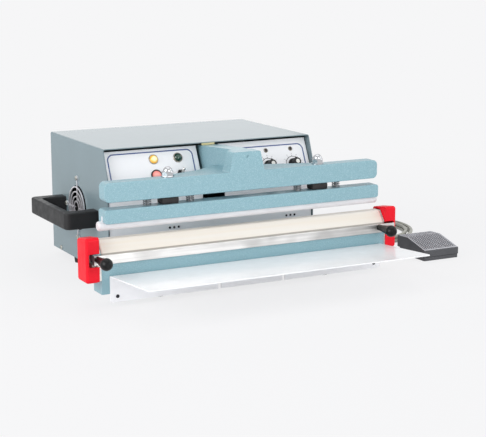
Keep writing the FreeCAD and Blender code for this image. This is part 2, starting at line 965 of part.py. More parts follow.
def make_fan_guard():
    """Wire finger guard: rings on a cross of spokes that end in screw eyes."""
    outside = -cabinet_half_width
    front = outside - guard_wire
    step = (guard_last_ring - guard_first_ring) / (guard_rings - 1)
    pieces = []
    for i in range(guard_rings):
        radius = guard_first_ring + step * i
        ring = rod(radius + guard_wire / 2, (front - guard_wire, 0, 0), (front, 0, 0))
        pieces.append(
            ring.cut(rod(radius - guard_wire / 2, (front - guard_wire - 1, 0, 0), (front + 1, 0, 0)))
        )
    reach = fan_hole_spacing / math.sqrt(2)
    eye_hole = screw_shank_radius + sheet_gap
    holes = []
    for i in range(4):
        turn = 90 * i
        spoke = box(front, outside, guard_first_ring - guard_wire, reach, -guard_wire / 2, guard_wire / 2)
        eye = rod(guard_eye_radius, (front, reach, 0), (outside, reach, 0))
        hole = rod(eye_hole, (front - 3, reach, 0), (outside + 1, reach, 0))
        for shape, keep in ((spoke, pieces), (eye, pieces), (hole, holes)):
            shape.rotate(Vector(0, 0, 0), Vector(1, 0, 0), turn)
            keep.append(shape)
    return moved(union(pieces).cut(holes), 0, fan_y, fan_z)


def make_lamp(x):
    """A domed indicator lens with its body behind the panel."""
    dome_radius = (lamp_lens_radius**2 + lamp_height**2) / (2 * lamp_height)
    dome = Part.makeSphere(dome_radius, Vector(0, 0, lamp_height - dome_radius + 0.8))
    dome = dome.common(Part.makeCylinder(lamp_lens_radius, lamp_height + 2, Vector(0, 0, 0)))
    body = Part.makeCylinder(lamp_lens_radius, lamp_body_length + 0.5, Vector(0, 0, -lamp_body_length))
    return on_panel(union([dome, body]), x, upper_row_z)


def bezel(inner_radius, outer_radius, height):
    """A flat ring with a bevelled rim."""
    ring = cone(outer_radius, outer_radius - height * 0.6, (0, 0, 0), (0, 0, height))
    return ring.cut(Part.makeCylinder(inner_radius + sheet_gap / 2, 2 * height, Vector(0, 0, -height / 2)))


def make_bezels():
    """Bright rings round the two lamps and the two LEDs."""
    lamp_ring = bezel(lamp_lens_radius, lamp_bezel_radius, lamp_bezel_height)
    led_ring = bezel(led_radius, led_bezel_radius, led_bezel_height)
    rings = [on_panel(lamp_ring.copy(), x, upper_row_z) for x in (left_column_x, left_second_x)]
    rings += [on_panel(led_ring.copy(), x, upper_row_z) for x in (heat_knob_x, cool_knob_x)]
    return rings


def make_leds():
    """Two small round LEDs above the timer knobs."""
    shape = union(
        [
            Part.makeCylinder(led_radius, 9.0 + led_height - led_radius, Vector(0, 0, -9.0)),
            Part.makeSphere(led_radius, Vector(0, 0, led_height - led_radius)),
        ]
    )
    return [on_panel(shape, x, upper_row_z) for x in (heat_knob_x, cool_knob_x)]


def make_switch_bodies():
    """The fixed bodies of the rocker and the toggle, with their rims on the panel."""
    rim = Part.makeCylinder(rocker_bezel_radius, rocker_bezel_height)
    barrel = Part.makeCylinder(rocker_radius, rocker_body_length, Vector(0, 0, -rocker_body_length))
    well = Part.makeCylinder(rocker_radius - 1.0, 8.0 + rocker_bezel_height, Vector(0, 0, -8.0))
    rocker_body = union([rim, barrel]).cut(well)
    bush_radius = toggle_ball_radius + 0.5
    nut = hexagon(2 * toggle_nut_radius, 2.2)
    bush = Part.makeCylinder(bush_radius, toggle_bush_height + 4.0, Vector(0, 0, -4.0))
    case = box(-6.5, 6.5, -6.5, 6.5, -toggle_body_length, -4.0)
    socket = Part.makeSphere(toggle_ball_radius + 0.15, Vector(0, 0, 0.5))
    throat = cone(
        toggle_root_radius + 0.4,
        bush_radius - 0.5,
        (0, 0, 0.5),
        (0, 0, toggle_bush_height + 0.6),
    )
    toggle_body = union([nut, bush, case]).cut([socket, throat])
    return [
        on_panel(rocker_body, left_column_x, lower_row_z),
        on_panel(toggle_body, left_second_x, lower_row_z),
    ]


def make_rocker():
    """Round red rocker, its two halves set at a shallow angle, tipped to one side."""
    radius = rocker_radius - 1.3
    drop = radius * math.tan(math.radians(rocker_tilt))
    depth = 4.0
    section = [
        (-radius, rocker_height - drop - depth),
        (radius, rocker_height - drop - depth),
        (radius, rocker_height - drop),
        (0, rocker_height + 0.6),
        (-radius, rocker_height - drop),
    ]
    wedge = prism(section, "x", -radius, radius)
    rocker = wedge.common(Part.makeCylinder(radius, 20, Vector(0, 0, -10)))
    rocker.rotate(Vector(0, 0, 0), Vector(1, 0, 0), rocker_tilt / 2)
    return on_panel(rocker, left_column_x, lower_row_z)


def make_toggle():
    """Bat-shaped toggle lever on its ball, tipped up."""
    start = 0.5
    lever = union(
        [
            Part.makeSphere(toggle_ball_radius - 0.1, Vector(0, 0, start)),
            cone(toggle_root_radius, toggle_tip_radius, (0, 0, start), (0, 0, start + toggle_length)),
            Part.makeSphere(toggle_tip_radius, Vector(0, 0, start + toggle_length)),
        ]
    )
    lever.rotate(Vector(0, 0, start), Vector(1, 0, 0), -toggle_tilt)
    return on_panel(lever, left_second_x, lower_row_z)


def make_timer_knob(x):
    """Skirted knob with a pointer, a flat cap and its own spindle."""
    low = knob_panel_gap
    skirt = cone(knob_skirt_radius, knob_skirt_radius - 0.6, (0, 0, low), (0, 0, low + knob_skirt_height))
    body = cone(knob_top_radius + 0.9, knob_top_radius, (0, 0, low), (0, 0, knob_height))
    half = knob_pointer_width / 2
    pointer = box(-half, half, 0, knob_top_radius + knob_pointer_rise, low, knob_height - 0.4)
    cap = Part.makeCylinder(knob_cap_radius, 1.0, Vector(0, 0, knob_height - 0.5))
    knob = union([skirt, body, pointer, cap])
    recess = Part.makeCylinder(pot_bush_radius + 3.2, pot_nut_height + 0.4 + low, Vector(0, 0, 0))
    spindle_length = panel_thickness + pot_body_height + 2.0
    spindle = Part.makeCylinder(
        knob_spindle_radius,
        spindle_length + low + 4.0,
        Vector(0, 0, -spindle_length),
    )
    return on_panel(union([knob.cut(recess), spindle]), x, lower_row_z)


def make_timer_board():
    """Timer circuit board parallel to the right panel, carried by its two potentiometers."""
    face = -panel_thickness
    low = face - pot_body_height
    span = cool_knob_x - heat_knob_x
    board = box(
        -board_overhang,
        span + board_overhang,
        -pot_body_size / 2 - 1,
        board_height - pot_body_size / 2 - 1,
        low - board_thickness,
        low,
    )
    half = pot_body_size / 2
    pieces = [board]
    bores = []
    for x in (0.0, span):
        pieces.append(box(x - half, x + half, -half, half, low, face - sheet_gap))
        pieces.append(
            moved(
                Part.makeCylinder(pot_bush_radius, panel_thickness + pot_nut_height + 0.5),
                x,
                0,
                face - 0.5,
            )
        )
        bores.append(
            Part.makeCylinder(
                knob_spindle_radius + turn_clearance,
                pot_body_height + panel_thickness + 8,
                Vector(x, 0, low - board_thickness - 1),
            )
        )
    under = low - board_thickness
    relay_left = (span - relay_size) / 2
    relay = box(
        relay_left,
        relay_left + relay_size,
        relay_up,
        relay_up + relay_size,
        under - relay_height,
        under,
    )
    pieces.append(relay)
    for i in range(3):
        place = Vector(capacitor_first_x + capacitor_spacing * i, capacitor_up, under - capacitor_height)
        pieces.append(Part.makeCylinder(capacitor_radius, capacitor_height, place))
    return on_panel(union(pieces).cut(bores), heat_knob_x, lower_row_z)


def neck_bottom_at(y):
    """Height of the neck's underside behind the front panels."""
    return neck_back_bottom + neck_bottom_slope * (y - neck_back_y)


def make_arm():
    """Arm casting: long bar, centre boss, deep neck with side webs, hub and the solenoid's lug."""
    bar = prism(
        rectangle(-bar_half_length, bar_half_length, bar_bottom, bar_top, bar_end_radius), "y", 0, bar_depth
    )
    bar = round_edges(bar, bar_edge_round, lambda e: at_depth(e, 0.0) or at_depth(e, bar_depth))
    foot_rise = bar_top - 2.0
    boss = prism(
        [
            (-boss_foot_half_width - boss_foot_radius, foot_rise),
            (boss_foot_half_width + boss_foot_radius, foot_rise),
            (boss_foot_half_width + boss_foot_radius, bar_top),
            (boss_foot_half_width, bar_top, boss_foot_radius - 0.1),
            (boss_top_half_width, boss_top, 3.0),
            (-boss_top_half_width, boss_top, 3.0),
            (-boss_foot_half_width, bar_top, boss_foot_radius - 0.1),
            (-boss_foot_half_width - boss_foot_radius, bar_top),
        ],
        "y",
        0,
        bar_depth,
    )
    boss = moved(boss, boss_x)
    hub_top = pivot_z + hub_radius - 2.0
    hub_low = pivot_z - hub_radius + 2.0
    neck = prism(
        [
            (bar_depth / 2, bar_bottom + 2.0),
            (neck_back_y, neck_back_bottom),
            (pivot_y, hub_low),
            (pivot_y, hub_top),
            (neck_back_y, neck_back_top),
            (neck_level_end, boss_top - 0.5),
            (bar_depth / 2, boss_top - 0.5),
        ],
        "x",
        -neck_half_width,
        neck_half_width,
    )
    web_top = bar_top - web_below_top
    web = prism(
        [
            (-web_reach, bar_depth / 2),
            (web_reach, bar_depth / 2),
            (web_reach, bar_depth - bar_edge_round),
            (web_waist_x, bar_depth + web_waist_back, web_waist_round),
            (neck_half_width - 1.0, bar_depth + web_neck_back),
            (1.0 - neck_half_width, bar_depth + web_neck_back),
            (-web_waist_x, bar_depth + web_waist_back, web_waist_round),
            (-web_reach, bar_depth - bar_edge_round),
        ],
        "z",
        web_top - web_thickness,
        web_top,
    )
    hub = rod(hub_radius, (-hub_half_width, pivot_y, pivot_z), (hub_half_width, pivot_y, pivot_z))
    lug_top = neck_bottom_at(solenoid_y) + 4.0
    lug_low = pin_z - pin_radius - lug_wall
    lug_half = pin_radius + pin_slot_play + lug_wall
    lug = box(
        -lug_half_width,
        lug_half_width,
        solenoid_y - lug_half,
        solenoid_y + lug_half,
        lug_low,
        lug_top,
    )
    casting = union([bar, boss, neck, web, hub, lug])
    slot_radius = pin_radius + pin_slot_clearance
    cutters = [
        rod(
            shaft_radius + hub_bore_clearance,
            (-shaft_half_length, pivot_y, pivot_z),
            (shaft_half_length, pivot_y, pivot_z),
        ),
        rod(
            boss_hole_radius,
            (boss_x, -1, boss_top - boss_hole_below_top),
            (boss_x, boss_hole_depth, boss_top - boss_hole_below_top),
        ),
        rod(
            slot_radius,
            (-neck_half_width, solenoid_y - pin_slot_play, pin_z),
            (neck_half_width, solenoid_y - pin_slot_play, pin_z),
        ),
        rod(
            slot_radius,
            (-neck_half_width, solenoid_y + pin_slot_play, pin_z),
            (neck_half_width, solenoid_y + pin_slot_play, pin_z),
        ),
        box(
            -neck_half_width,
            neck_half_width,
            solenoid_y - pin_slot_play,
            solenoid_y + pin_slot_play,
            pin_z - slot_radius,
            pin_z + slot_radius,
        ),
    ]
    margin = neck_recess_margin
    front, back = neck_back_y + margin, pivot_y - hub_radius - margin
    for sign in (-1, 1):
        web = sorted((sign * (neck_half_width - neck_recess_depth), sign * (neck_half_width + 1)))
        top_at_back = hub_top + (neck_back_top - hub_top) * (pivot_y - back) / (pivot_y - neck_back_y)
        top_at_front = hub_top + (neck_back_top - hub_top) * (pivot_y - front) / (pivot_y - neck_back_y)
        recess = [
            (front, neck_bottom_at(front) + margin, 4.0),
            (back, neck_bottom_at(back) + margin * 0.6, 4.0),
            (back, top_at_back - margin * 0.6, 4.0),
            (front, top_at_front - margin, 4.0),
        ]
        cutters.append(prism(recess, "x", web[0], web[1]))
        cutters.append(
            rod(
                bolt_hole_radius,
                (sign * bolt_x, bolt_y, bar_bottom - 1),
                (sign * bolt_x, bolt_y, bar_top + 1),
            )
        )
        for x in jaw_spring_x:
            hole_top = jaw_top + guide_pin_rise + jaw_float_travel + 1.0
            hole = rod(
                guide_pin_radius + guide_pin_clearance,
                (sign * x, bolt_y, bar_bottom - 1),
                (sign * x, bolt_y, hole_top),
            )
            cutters.append(hole)
    return casting.cut(cutters)


def make_pivot_shaft():
    """The shaft that the arm swings on."""
    return rod(shaft_radius, (-shaft_half_length, pivot_y, pivot_z), (shaft_half_length, pivot_y, pivot_z))


def bracket_inner_x():
    """Inner face of a pivot bracket, past the hub, a running gap and the bush's flange."""
    return hub_half_width + hub_side_gap + bush_flange


def make_pivot_brackets():
    """Two upright brackets that carry the shaft, each with a bolted foot."""
    inner = bracket_inner_x()
    half = bracket_depth / 2
    bush_outer = shaft_radius + shaft_running_clearance + bush_wall
    head_radius = bush_outer + bracket_top_wall
    plate = union(
        [
            prism(
                [
                    (pivot_y - half, pan_top),
                    (pivot_y + half, pan_top),
                    (pivot_y + head_radius, pivot_z),
                    (pivot_y - head_radius, pivot_z),
                ],
                "x",
                inner,
                inner + bracket_thickness,
            ),
            rod(head_radius, (inner, pivot_y, pivot_z), (inner + bracket_thickness, pivot_y, pivot_z)),
            box(
                inner,
                inner + bracket_thickness + bracket_foot,
                pivot_y - half,
                pivot_y + half,
                pan_top,
                pan_top + 6.0,
            ),
        ]
    )
    bracket = plate.cut(
        rod(bush_outer, (inner - 1, pivot_y, pivot_z), (inner + bracket_thickness + 1, pivot_y, pivot_z))
    )
    return [mirrored(bracket), bracket]


def make_bushes():
    """Flanged plain bushes pressed into the brackets."""
    inner = bracket_inner_x()
    bore = shaft_radius + shaft_running_clearance
    outer = bore + bush_wall
    bush = union(
        [
            rod(outer, (inner, pivot_y, pivot_z), (inner + bracket_thickness, pivot_y, pivot_z)),
            rod(
                outer + bush_flange_wall,
                (inner - bush_flange, pivot_y, pivot_z),
                (inner, pivot_y, pivot_z),
            ),
        ]
    )
    near = inner - bush_flange - 1
    far = inner + bracket_thickness + 1
    bush = bush.cut(rod(bore, (near, pivot_y, pivot_z), (far, pivot_y, pivot_z)))
    return [mirrored(bush), bush]


def neck_top_at(y):
    """Height of the neck's upper edge between the boss and the front panels."""
    slope = (neck_back_top - boss_top + 0.5) / (neck_back_y - neck_level_end)
    return boss_top - 0.5 + slope * (y - neck_level_end)


def make_stop_bar():
    """Plated stop under the hood's roof that the neck rises against."""
    top = cabinet_top - hood_wall
    low = neck_top_at(stop_front_y) + stop_gap
    foot = box(-stop_half_width, stop_half_width, stop_front_y, stop_front_y + stop_depth, low, top)
    return foot


def make_solenoid_frame():
    """Steel frame round the coil, with a shelf in front for the return spring."""
    w, d, t = solenoid_half_width, solenoid_half_depth, solenoid_plate
    front, back = solenoid_y - d, solenoid_y + d
    outer = box(-w, w, front, back, pan_top, solenoid_top)
    window = box(-w + t, w - t, front - 1, back + 1, pan_top + t, solenoid_top - t)
    shelf = box(
        -spring_shelf_half_width,
        spring_shelf_half_width,
        solenoid_y - spring_shelf_reach,
        solenoid_y,
        solenoid_top - t,
        solenoid_top,
    )
    hole = rod(
        plunger_radius + plunger_clearance,
        (0, solenoid_y, solenoid_top - t - 1),
        (0, solenoid_y, solenoid_top + 1),
    )
    return union([outer.cut(window), shelf]).cut(hole)


def make_solenoid_coil():
    """Wound coil on its bobbin, with the plunger's bore."""
    low = pan_top + solenoid_plate + coil_gap
    high = solenoid_top - solenoid_plate - coil_gap
    cheek = 3.0
    side = coil_radius + 1.0
    bobbin = union(
        [
            rod(coil_radius, (0, solenoid_y, low), (0, solenoid_y, high)),
            box(-side, side, solenoid_y - side, solenoid_y + side, low, low + cheek),
            box(-side, side, solenoid_y - side, solenoid_y + side, high - cheek, high),
        ]
    )
    return bobbin.cut(
        rod(plunger_radius + plunger_clearance, (0, solenoid_y, low - 1), (0, solenoid_y, high + 1))
    )


def make_plunger():
    """Solenoid plunger with a clevis at its upper end."""
    inside = lug_half_width + clevis_gap
    outside = inside + clevis_cheek
    high = pin_z + pin_radius + 4.0
    floor = pin_z - pin_radius - lug_wall - 1.5
    stem = rod(plunger_radius, (0, solenoid_y, plunger_bottom), (0, solenoid_y, floor))
    half = pin_radius + 4.0
    fork = box(-outside, outside, solenoid_y - half, solenoid_y + half, floor - 4.0, high)
    gap = box(-inside, inside, solenoid_y - half - 1, solenoid_y + half + 1, floor, high + 1)
    eye = rod(pin_radius, (-outside - 1, solenoid_y, pin_z), (outside + 1, solenoid_y, pin_z))
    return union([stem, fork]).cut([gap, eye])


def make_clevis_pin():
    """The pin that joins the plunger to the arm's lug."""
    outside = lug_half_width + clevis_gap + clevis_cheek
    pin = rod(pin_radius, (-outside, solenoid_y, pin_z), (outside, solenoid_y, pin_z))
    head = rod(pin_radius + 2.0, (outside, solenoid_y, pin_z), (outside + 2.0, solenoid_y, pin_z))
    return union([pin, head])


def return_spring_top():
    """Underside of the neck over the return spring, at the wire's lowest side."""
    back = return_spring_y + return_spring_radius + return_spring_wire
    return neck_bottom_at(back) - spring_end_gap


def make_return_spring():
    """Compression spring between the solenoid's shelf and the neck."""
    return spring(
        "return spring",
        0,
        return_spring_y,
        solenoid_top + spring_end_gap,
        return_spring_top(),
        return_spring_radius,
        return_spring_wire,
        return_spring_turns,
    )


def make_arm_switch():
    """Limit switch on the solenoid's top plate with a lever that the closed arm presses."""
    x0 = solenoid_half_width - switch_width - 2.0
    y0 = solenoid_y - solenoid_half_depth
    high = solenoid_top + switch_height
    case = box(x0, x0 + switch_width, y0, y0 + switch_length, solenoid_top, high)
    neck_side = neck_half_width
    reach_x = neck_side - switch_lever_width
    touch_y = y0 + 4.0
    closing_drop = (pivot_y - touch_y) * math.sin(math.radians(arm_close_angle))
    touch_z = neck_bottom_at(touch_y) - closing_drop - switch_touch_gap
    post = box(x0, x0 + switch_width, y0, y0 + switch_lever_width, high, touch_z - switch_lever_thickness)
    finger = box(
        reach_x,
        x0 + switch_width,
        y0,
        y0 + switch_lever_width,
        touch_z - switch_lever_thickness,
        touch_z,
    )
    return union([case, post, finger])


def make_transformer_core():
    """Laminated core with two windows, lying on the base pan."""
    x, y = transformer_x, transformer_y
    high = pan_top + core_height
    block = box(
        x - core_length / 2,
        x + core_length / 2,
        y - core_depth / 2,
        y + core_depth / 2,
        pan_top,
        high,
    )
    window_width = core_length / 2 - 2 * core_limb
    windows = []
    for sign in (-1, 1):
        middle = x + sign * (core_limb + window_width / 2)
        windows.append(
            box(
                middle - window_width / 2,
                middle + window_width / 2,
                y - core_depth,
                y + core_depth,
                pan_top + core_limb,
                high - core_limb,
            )
        )
    return block.cut(windows)


def make_transformer_winding():
    """Winding round the core's middle limb."""
    x, y, g = transformer_x, transformer_y, winding_gap
    low = pan_top + core_limb + g
    high = pan_top + core_height - core_limb - g
    half_x = core_length / 2 - core_limb - g
    half_y = core_depth / 2 + winding_overhang
    outer = prism(rectangle(x - half_x, x + half_x, y - half_y, y + half_y, 5.0), "z", low, high)
    limb = box(
        x - core_limb - g,
        x + core_limb + g,
        y - core_depth / 2 - g,
        y + core_depth / 2 + g,
        low - 1,
        high + 1,
    )
    return outer.cut(limb)


def make_power_inlet():
    """Panel mains inlet with a flange outside and a hooded socket inside."""
    w, h = inlet_width / 2 - sheet_gap, inlet_height / 2 - sheet_gap
    outside = rear_panel_outer
    flange = prism(
        rectangle(
            inlet_x - inlet_flange_width / 2,
            inlet_x + inlet_flange_width / 2,
            inlet_z - inlet_flange_height / 2,
            inlet_z + inlet_flange_height / 2,
            4.0,
        ),
        "y",
        outside,
        outside + inlet_flange_thickness,
    )
    body = box(inlet_x - w, inlet_x + w, outside - inlet_depth, outside + 0.5, inlet_z - h, inlet_z + h)
    wall = 2.0
    well = box(
        inlet_x - w + wall,
        inlet_x + w - wall,
        outside - inlet_depth + 8.0,
        outside + 9.0,
        inlet_z - h + wall,
        inlet_z + h - wall,
    )
    pins = []
    for x, z in ((-7.0, -1.5), (0.0, 2.5), (7.0, -1.5)):
        pins.append(
            box(
                inlet_x + x - 1.0,
                inlet_x + x + 1.0,
                outside - inlet_depth + 6.0,
                outside - 4.0,
                inlet_z + z - 2.0,
                inlet_z + z + 2.0,
            )
        )
    return union([union([flange, body]).cut(well)] + pins)


def make_jaw_bar():
    """Upper jaw bar with a keyed round groove underneath and tapped holes on top."""
    bar = prism(
        rectangle(-jaw_half_length, jaw_half_length, jaw_bottom, jaw_top, jaw_end_radius),
        "y",
        jaw_front,
        jaw_front + jaw_depth,
    )
    groove = rod_radius + rod_clearance
    key = rod_key_width / 2 + rod_clearance
    reach = jaw_half_length + 10
    cutters = [
        rod(groove, (-reach, rod_y, rod_z), (reach, rod_y, rod_z)),
        box(
            -reach,
            reach,
            rod_y - key,
            rod_y + key,
            rod_z,
            rod_z + rod_radius + rod_key_height + rod_clearance,
        ),
    ]
    for sign in (-1, 1):
        cutters.append(
            rod(
                bolt_radius,
                (sign * bolt_x, bolt_y, jaw_top - bolt_thread_depth),
                (sign * bolt_x, bolt_y, jaw_top + 1),
            )
        )
        for x in jaw_spring_x:
            low = jaw_top - guide_pin_depth
            cutters.append(rod(guide_pin_radius, (sign * x, bolt_y, low), (sign * x, bolt_y, jaw_top + 1)))
    bar = bar.cut(cutters)
    return round_edges(
        bar,
        1.0,
        lambda e: at_depth(e, jaw_front) and at_height(e, jaw_top) and e.Length > bar_depth,
    )


def make_pressure_rod():
    """Silicone rod with a key on top, slid into the jaw bar from the left."""
    left, right = -jaw_half_length - rod_overhang_left, jaw_half_length
    key = rod_key_width / 2
    body = rod(rod_radius, (left, rod_y, rod_z), (right, rod_y, rod_z))
    body = round_edges(body, rod_end_round, lambda e: abs(e.BoundBox.XMax - left) < 1e-4)
    key_top = rod_z + rod_radius + rod_key_height
    return union([body, box(-jaw_half_length, right, rod_y - key, rod_y + key, rod_z, key_top)])


def make_suspension_bolts():
    """Two suspension bolts and four guide pins, screwed into the jaw bar."""
    top = bar_top + seat_gap + washer_thickness + nut_height
    solids = []
    for sign in (-1, 1):
        solids.append(
            rod(
                bolt_radius,
                (sign * bolt_x, bolt_y, jaw_top - bolt_thread_depth),
                (sign * bolt_x, bolt_y, top),
            )
        )
        for x in jaw_spring_x:
            low = jaw_top - guide_pin_depth
            high = jaw_top + guide_pin_rise
            solids.append(rod(guide_pin_radius, (sign * x, bolt_y, low), (sign * x, bolt_y, high)))
    return solids


def make_cap_nuts():
    """Domed nuts with their washers on top of the arm bar."""
    nut = hexagon(nut_across_flats, nut_height)
    chamfer = cone(
        nut_across_flats / math.sqrt(3),
        nut_dome_radius,
        (0, 0, nut_height * 0.55),
        (0, 0, nut_height + 1.0),
    )
    base = Part.makeCylinder(nut_across_flats, nut_height * 0.55)
    nut = nut.common(union([base, chamfer]))
    dome = Part.makeSphere(nut_dome_radius, Vector(0, 0, nut_height - 0.6))
    half = nut_dome_radius + 1
    dome = dome.common(box(-half, half, -half, half, nut_height - 0.6, nut_height + half))
    washer = Part.makeCylinder(washer_radius, washer_thickness)
    low = washer_thickness
    whole = union([washer, moved(nut, z=low), moved(dome, z=low)])
    bore = Part.makeCylinder(bolt_radius, washer_thickness + nut_height)
    whole = whole.cut(bore)
    return [moved(whole, sign * bolt_x, bolt_y, bar_top + seat_gap) for sign in (-1, 1)]


def make_buffers():
    """Black buffer blocks round the suspension bolts, filling the gap between arm and jaw."""
    blocks = []
    half_x, half_y = buffer_length / 2, buffer_depth / 2
    for sign in (-1, 1):
        x = sign * bolt_x
        plan = rectangle(x - half_x, x + half_x, bolt_y - half_y, bolt_y + half_y, buffer_corner)
        block = prism(plan, "z", jaw_top + seat_gap, bar_bottom - seat_gap)
        blocks.append(
            block.cut(rod(bolt_hole_radius, (x, bolt_y, jaw_top - 1), (x, bolt_y, bar_bottom + 1)))
        )
    return blocks


def make_jaw_springs():
    """Four short compression springs round the guide pins."""
    springs = []
    for x in (-jaw_spring_x[1], -jaw_spring_x[0], jaw_spring_x[0], jaw_spring_x[1]):
        springs.append(
            spring(
                f"jaw spring at {x:.0f}",
                x,
                bolt_y,
                jaw_top + spring_end_gap,
                bar_bottom - spring_end_gap,
                jaw_spring_radius,
                jaw_spring_wire,
                jaw_spring_turns,
            )
        )
    return springs


def lower_jaw_section(lift, bottom):
    """Section of the lower jaw's outside, grown outwards by a lift: front, round shoulder, ridge and back."""
    slope_y = lower_ridge_front - lower_front
    slope_z = lower_ridge_z - lower_shoulder_z
    half_shoulder = math.atan2(slope_y, slope_z) / 2
    half_ridge = (math.pi / 2 - math.atan2(slope_y, slope_z)) / 2
    back_drop = lower_ridge_z - lower_back_z
    back_run = lower_back - lower_ridge_back
    half_back = math.atan2(back_drop, back_run) / 2
    half_lower = (math.pi / 2 - math.atan2(back_drop, back_run)) / 2
    return [
        (lower_front - lift, bottom),
        (
            lower_front - lift,
            lower_shoulder_z + lift * math.tan(half_shoulder),
            lower_shoulder_radius + lift,
        ),
        (lower_ridge_front - lift * math.tan(half_ridge), lower_ridge_z + lift, 3.0 + lift),
        (lower_ridge_back + lift * math.tan(half_back), lower_ridge_z + lift, 1.5 + lift),
        (lower_back + lift, lower_back_z + lift * math.tan(half_lower), 1.5 + lift),
        (lower_back + lift, bottom),
    ]


def make_lower_jaw():
    """Lower jaw casting: sloped shoulder and ridge, ribbed pockets behind and a lug at each end."""
    casting = prism(lower_jaw_section(0.0, lower_bottom), "x", lower_left_end, lower_right_end)
    pockets = []
    inside = lower_half_length - lower_wall
    bays = lower_rib_count + 1
    bay = (2 * inside - lower_rib_count * lower_rib) / bays
    for i in range(bays):
        start = lower_middle_x - inside + i * (bay + lower_rib)
        opening = rectangle(start, start + bay, lower_bottom + lower_floor, lower_back_z - lower_roof, 5.0)
        pockets.append(prism(opening, "y", lower_front + lower_wall, lower_back + 1))
    casting = casting.cut(pockets)
    lug_low = clamp_knob_z - lug_height / 2
    lug_back = lower_front + lug_depth
    left_end = lower_left_end - lug_length
    lug = box(left_end, lower_left_end + 1, lower_front, lug_back, lug_low, lug_low + lug_height)
    boss_left = right_clamp_knob_x - lug_height / 2
    boss = box(boss_left, lower_right_end - 1, lower_front, lug_back, lug_low, lug_low + lug_height)
    section = prism(lower_jaw_section(0.0, lower_bottom), "x", left_end, lower_right_end)
    casting = union([casting, lug.common(section), boss.common(section)])
    bores = []
    for x in (left_clamp_knob_x, right_clamp_knob_x):
        near, far = (x, lower_front - 1, clamp_knob_z), (x, lug_back + 1, clamp_knob_z)
        bores.append(rod(stud_radius + stud_clearance, near, far))
    for sign in (-1, 1):
        x = sign * tray_slot_x
        near, far = (x, lower_front - 1, tray_screw_z), (x, lower_front + lower_wall + 6, tray_screw_z)
        bores.append(rod(screw_shank_radius, near, far))
    return casting.cut(bores)


def make_heating_element():
    """Flat resistance ribbon along the ridge."""
    middle = (lower_ridge_front + lower_ridge_back) / 2
    half = element_width / 2
    return box(
        lower_left_end,
        lower_right_end,
        middle - half,
        middle + half,
        lower_ridge_z,
        lower_ridge_z + element_thickness,
    )


def make_release_cloth():
    """Release cloth laid from under the clamp bar, over the shoulder and ridge, and down the back."""
    low = clamp_top_z - cloth_front_drop
    outer = prism(lower_jaw_section(cloth_outer, low), "x", cloth_left_end, cloth_right_end)
    inner = prism(
        lower_jaw_section(cloth_lift, low - 1),
        "x",
        cloth_left_end - 1,
        cloth_right_end + 1,
    )
    middle = (lower_ridge_front + lower_ridge_back) / 2
    back_end = lower_back_z - cloth_back_drop
    trim = box(cloth_left_end - 1, cloth_right_end + 1, middle, lower_back + 10, low - 1, back_end)
    eye_radius = stud_radius + cloth_lift
    near, far = (right_clamp_knob_x, clamp_back - 1, clamp_knob_z), (
        right_clamp_knob_x,
        lower_front + 1,
        clamp_knob_z,
    )
    return outer.cut([inner, trim, rod(eye_radius, near, far)])


def make_clamp_bar():
    """Aluminium bar that clamps the cloth to the jaw's front."""
    bar = box(
        -clamp_half_length,
        clamp_half_length,
        clamp_front,
        clamp_back,
        clamp_top_z - clamp_height,
        clamp_top_z,
    )
    bar = round_edges(
        bar, clamp_edge_round, lambda e: at_depth(e, clamp_front) and e.Length > clamp_half_length
    )
    bores = []
    for x in (left_clamp_knob_x, right_clamp_knob_x):
        near, far = (x, clamp_front - 1, clamp_knob_z), (x, clamp_back + 1, clamp_knob_z)
        bores.append(rod(stud_radius + stud_clearance, near, far))
    return bar.cut(bores)


def make_clamp_knob(x):
    """Turned club-shaped knob with its stud."""
    root = clamp_front - clamp_gap
    length = clamp_knob_length
    head, neck = clamp_knob_head_radius, clamp_knob_root_radius
    stud_end = lower_front + lug_depth - 1.0 - root

    def place(radius, out):
        return Vector(x + radius, root - out, clamp_knob_z)

    widest = place(head, length * 0.74)
    profile = Part.Wire(
        [
            Part.LineSegment(place(0, -stud_end), place(stud_radius, -stud_end)).toShape(),
            Part.LineSegment(place(stud_radius, -stud_end), place(stud_radius, 0)).toShape(),
            Part.LineSegment(place(stud_radius, 0), place(neck, 0)).toShape(),
            Part.Arc(place(neck, 0), place(neck + 1.4, length * 0.4), widest).toShape(),
            Part.Arc(widest, place(head * 0.82, length * 0.92), place(head * 0.4, length)).toShape(),
            Part.LineSegment(place(head * 0.4, length), place(0, length)).toShape(),
            Part.LineSegment(place(0, length), place(0, -stud_end)).toShape(),
        ]
    )
    return Part.Face(profile).revolve(place(0, 0), Vector(0, 1, 0), 360)


def cap_outline(inset):
    """Side view of an end cap, its top falling to the back, drawn in by a wall."""
    corner = cap_corner - inset
    return [
        (cap_front + inset, cap_bottom + inset, corner),
        (cap_back - inset, cap_bottom + inset, corner),
        (cap_back - inset, cap_back_top - inset, corner),
        (cap_front + inset, cap_front_top - inset, corner),
    ]


def make_end_cap(inner_x):
    """Hollow red cap past a jaw end, cut inside to the jaw's section, with a notch for the clamp bar."""
    w = cap_wall
    start = abs(inner_x)
    end = start + cap_width
    shell = prism(cap_outline(0.0), "x", start, end)
    shell = round_edges(shell, cap_corner * 0.8, lambda e: abs(e.BoundBox.XMin - end) < 1e-4)
    inside = cap_outline(w)
    hollow = prism(inside, "x", start + w, end - w)
    mouth = prism(
        lower_jaw_section(cloth_outer + cap_jaw_gap, cap_bottom - 1),
        "x",
        start - 1,
        start + w + 1,
    )
    notch_low = clamp_top_z - clamp_height - cap_notch_margin
    notch_high = clamp_top_z + cap_notch_margin
    notch_outline = rectangle(start - 5, start + cap_notch_depth, notch_low, notch_high, 2.5)
    notch = prism(notch_outline, "y", cap_front - 1, lower_front + 0.5)
    cap = shell.cut([hollow, mouth, notch])
    return cap if inner_x > 0 else mirrored(cap)


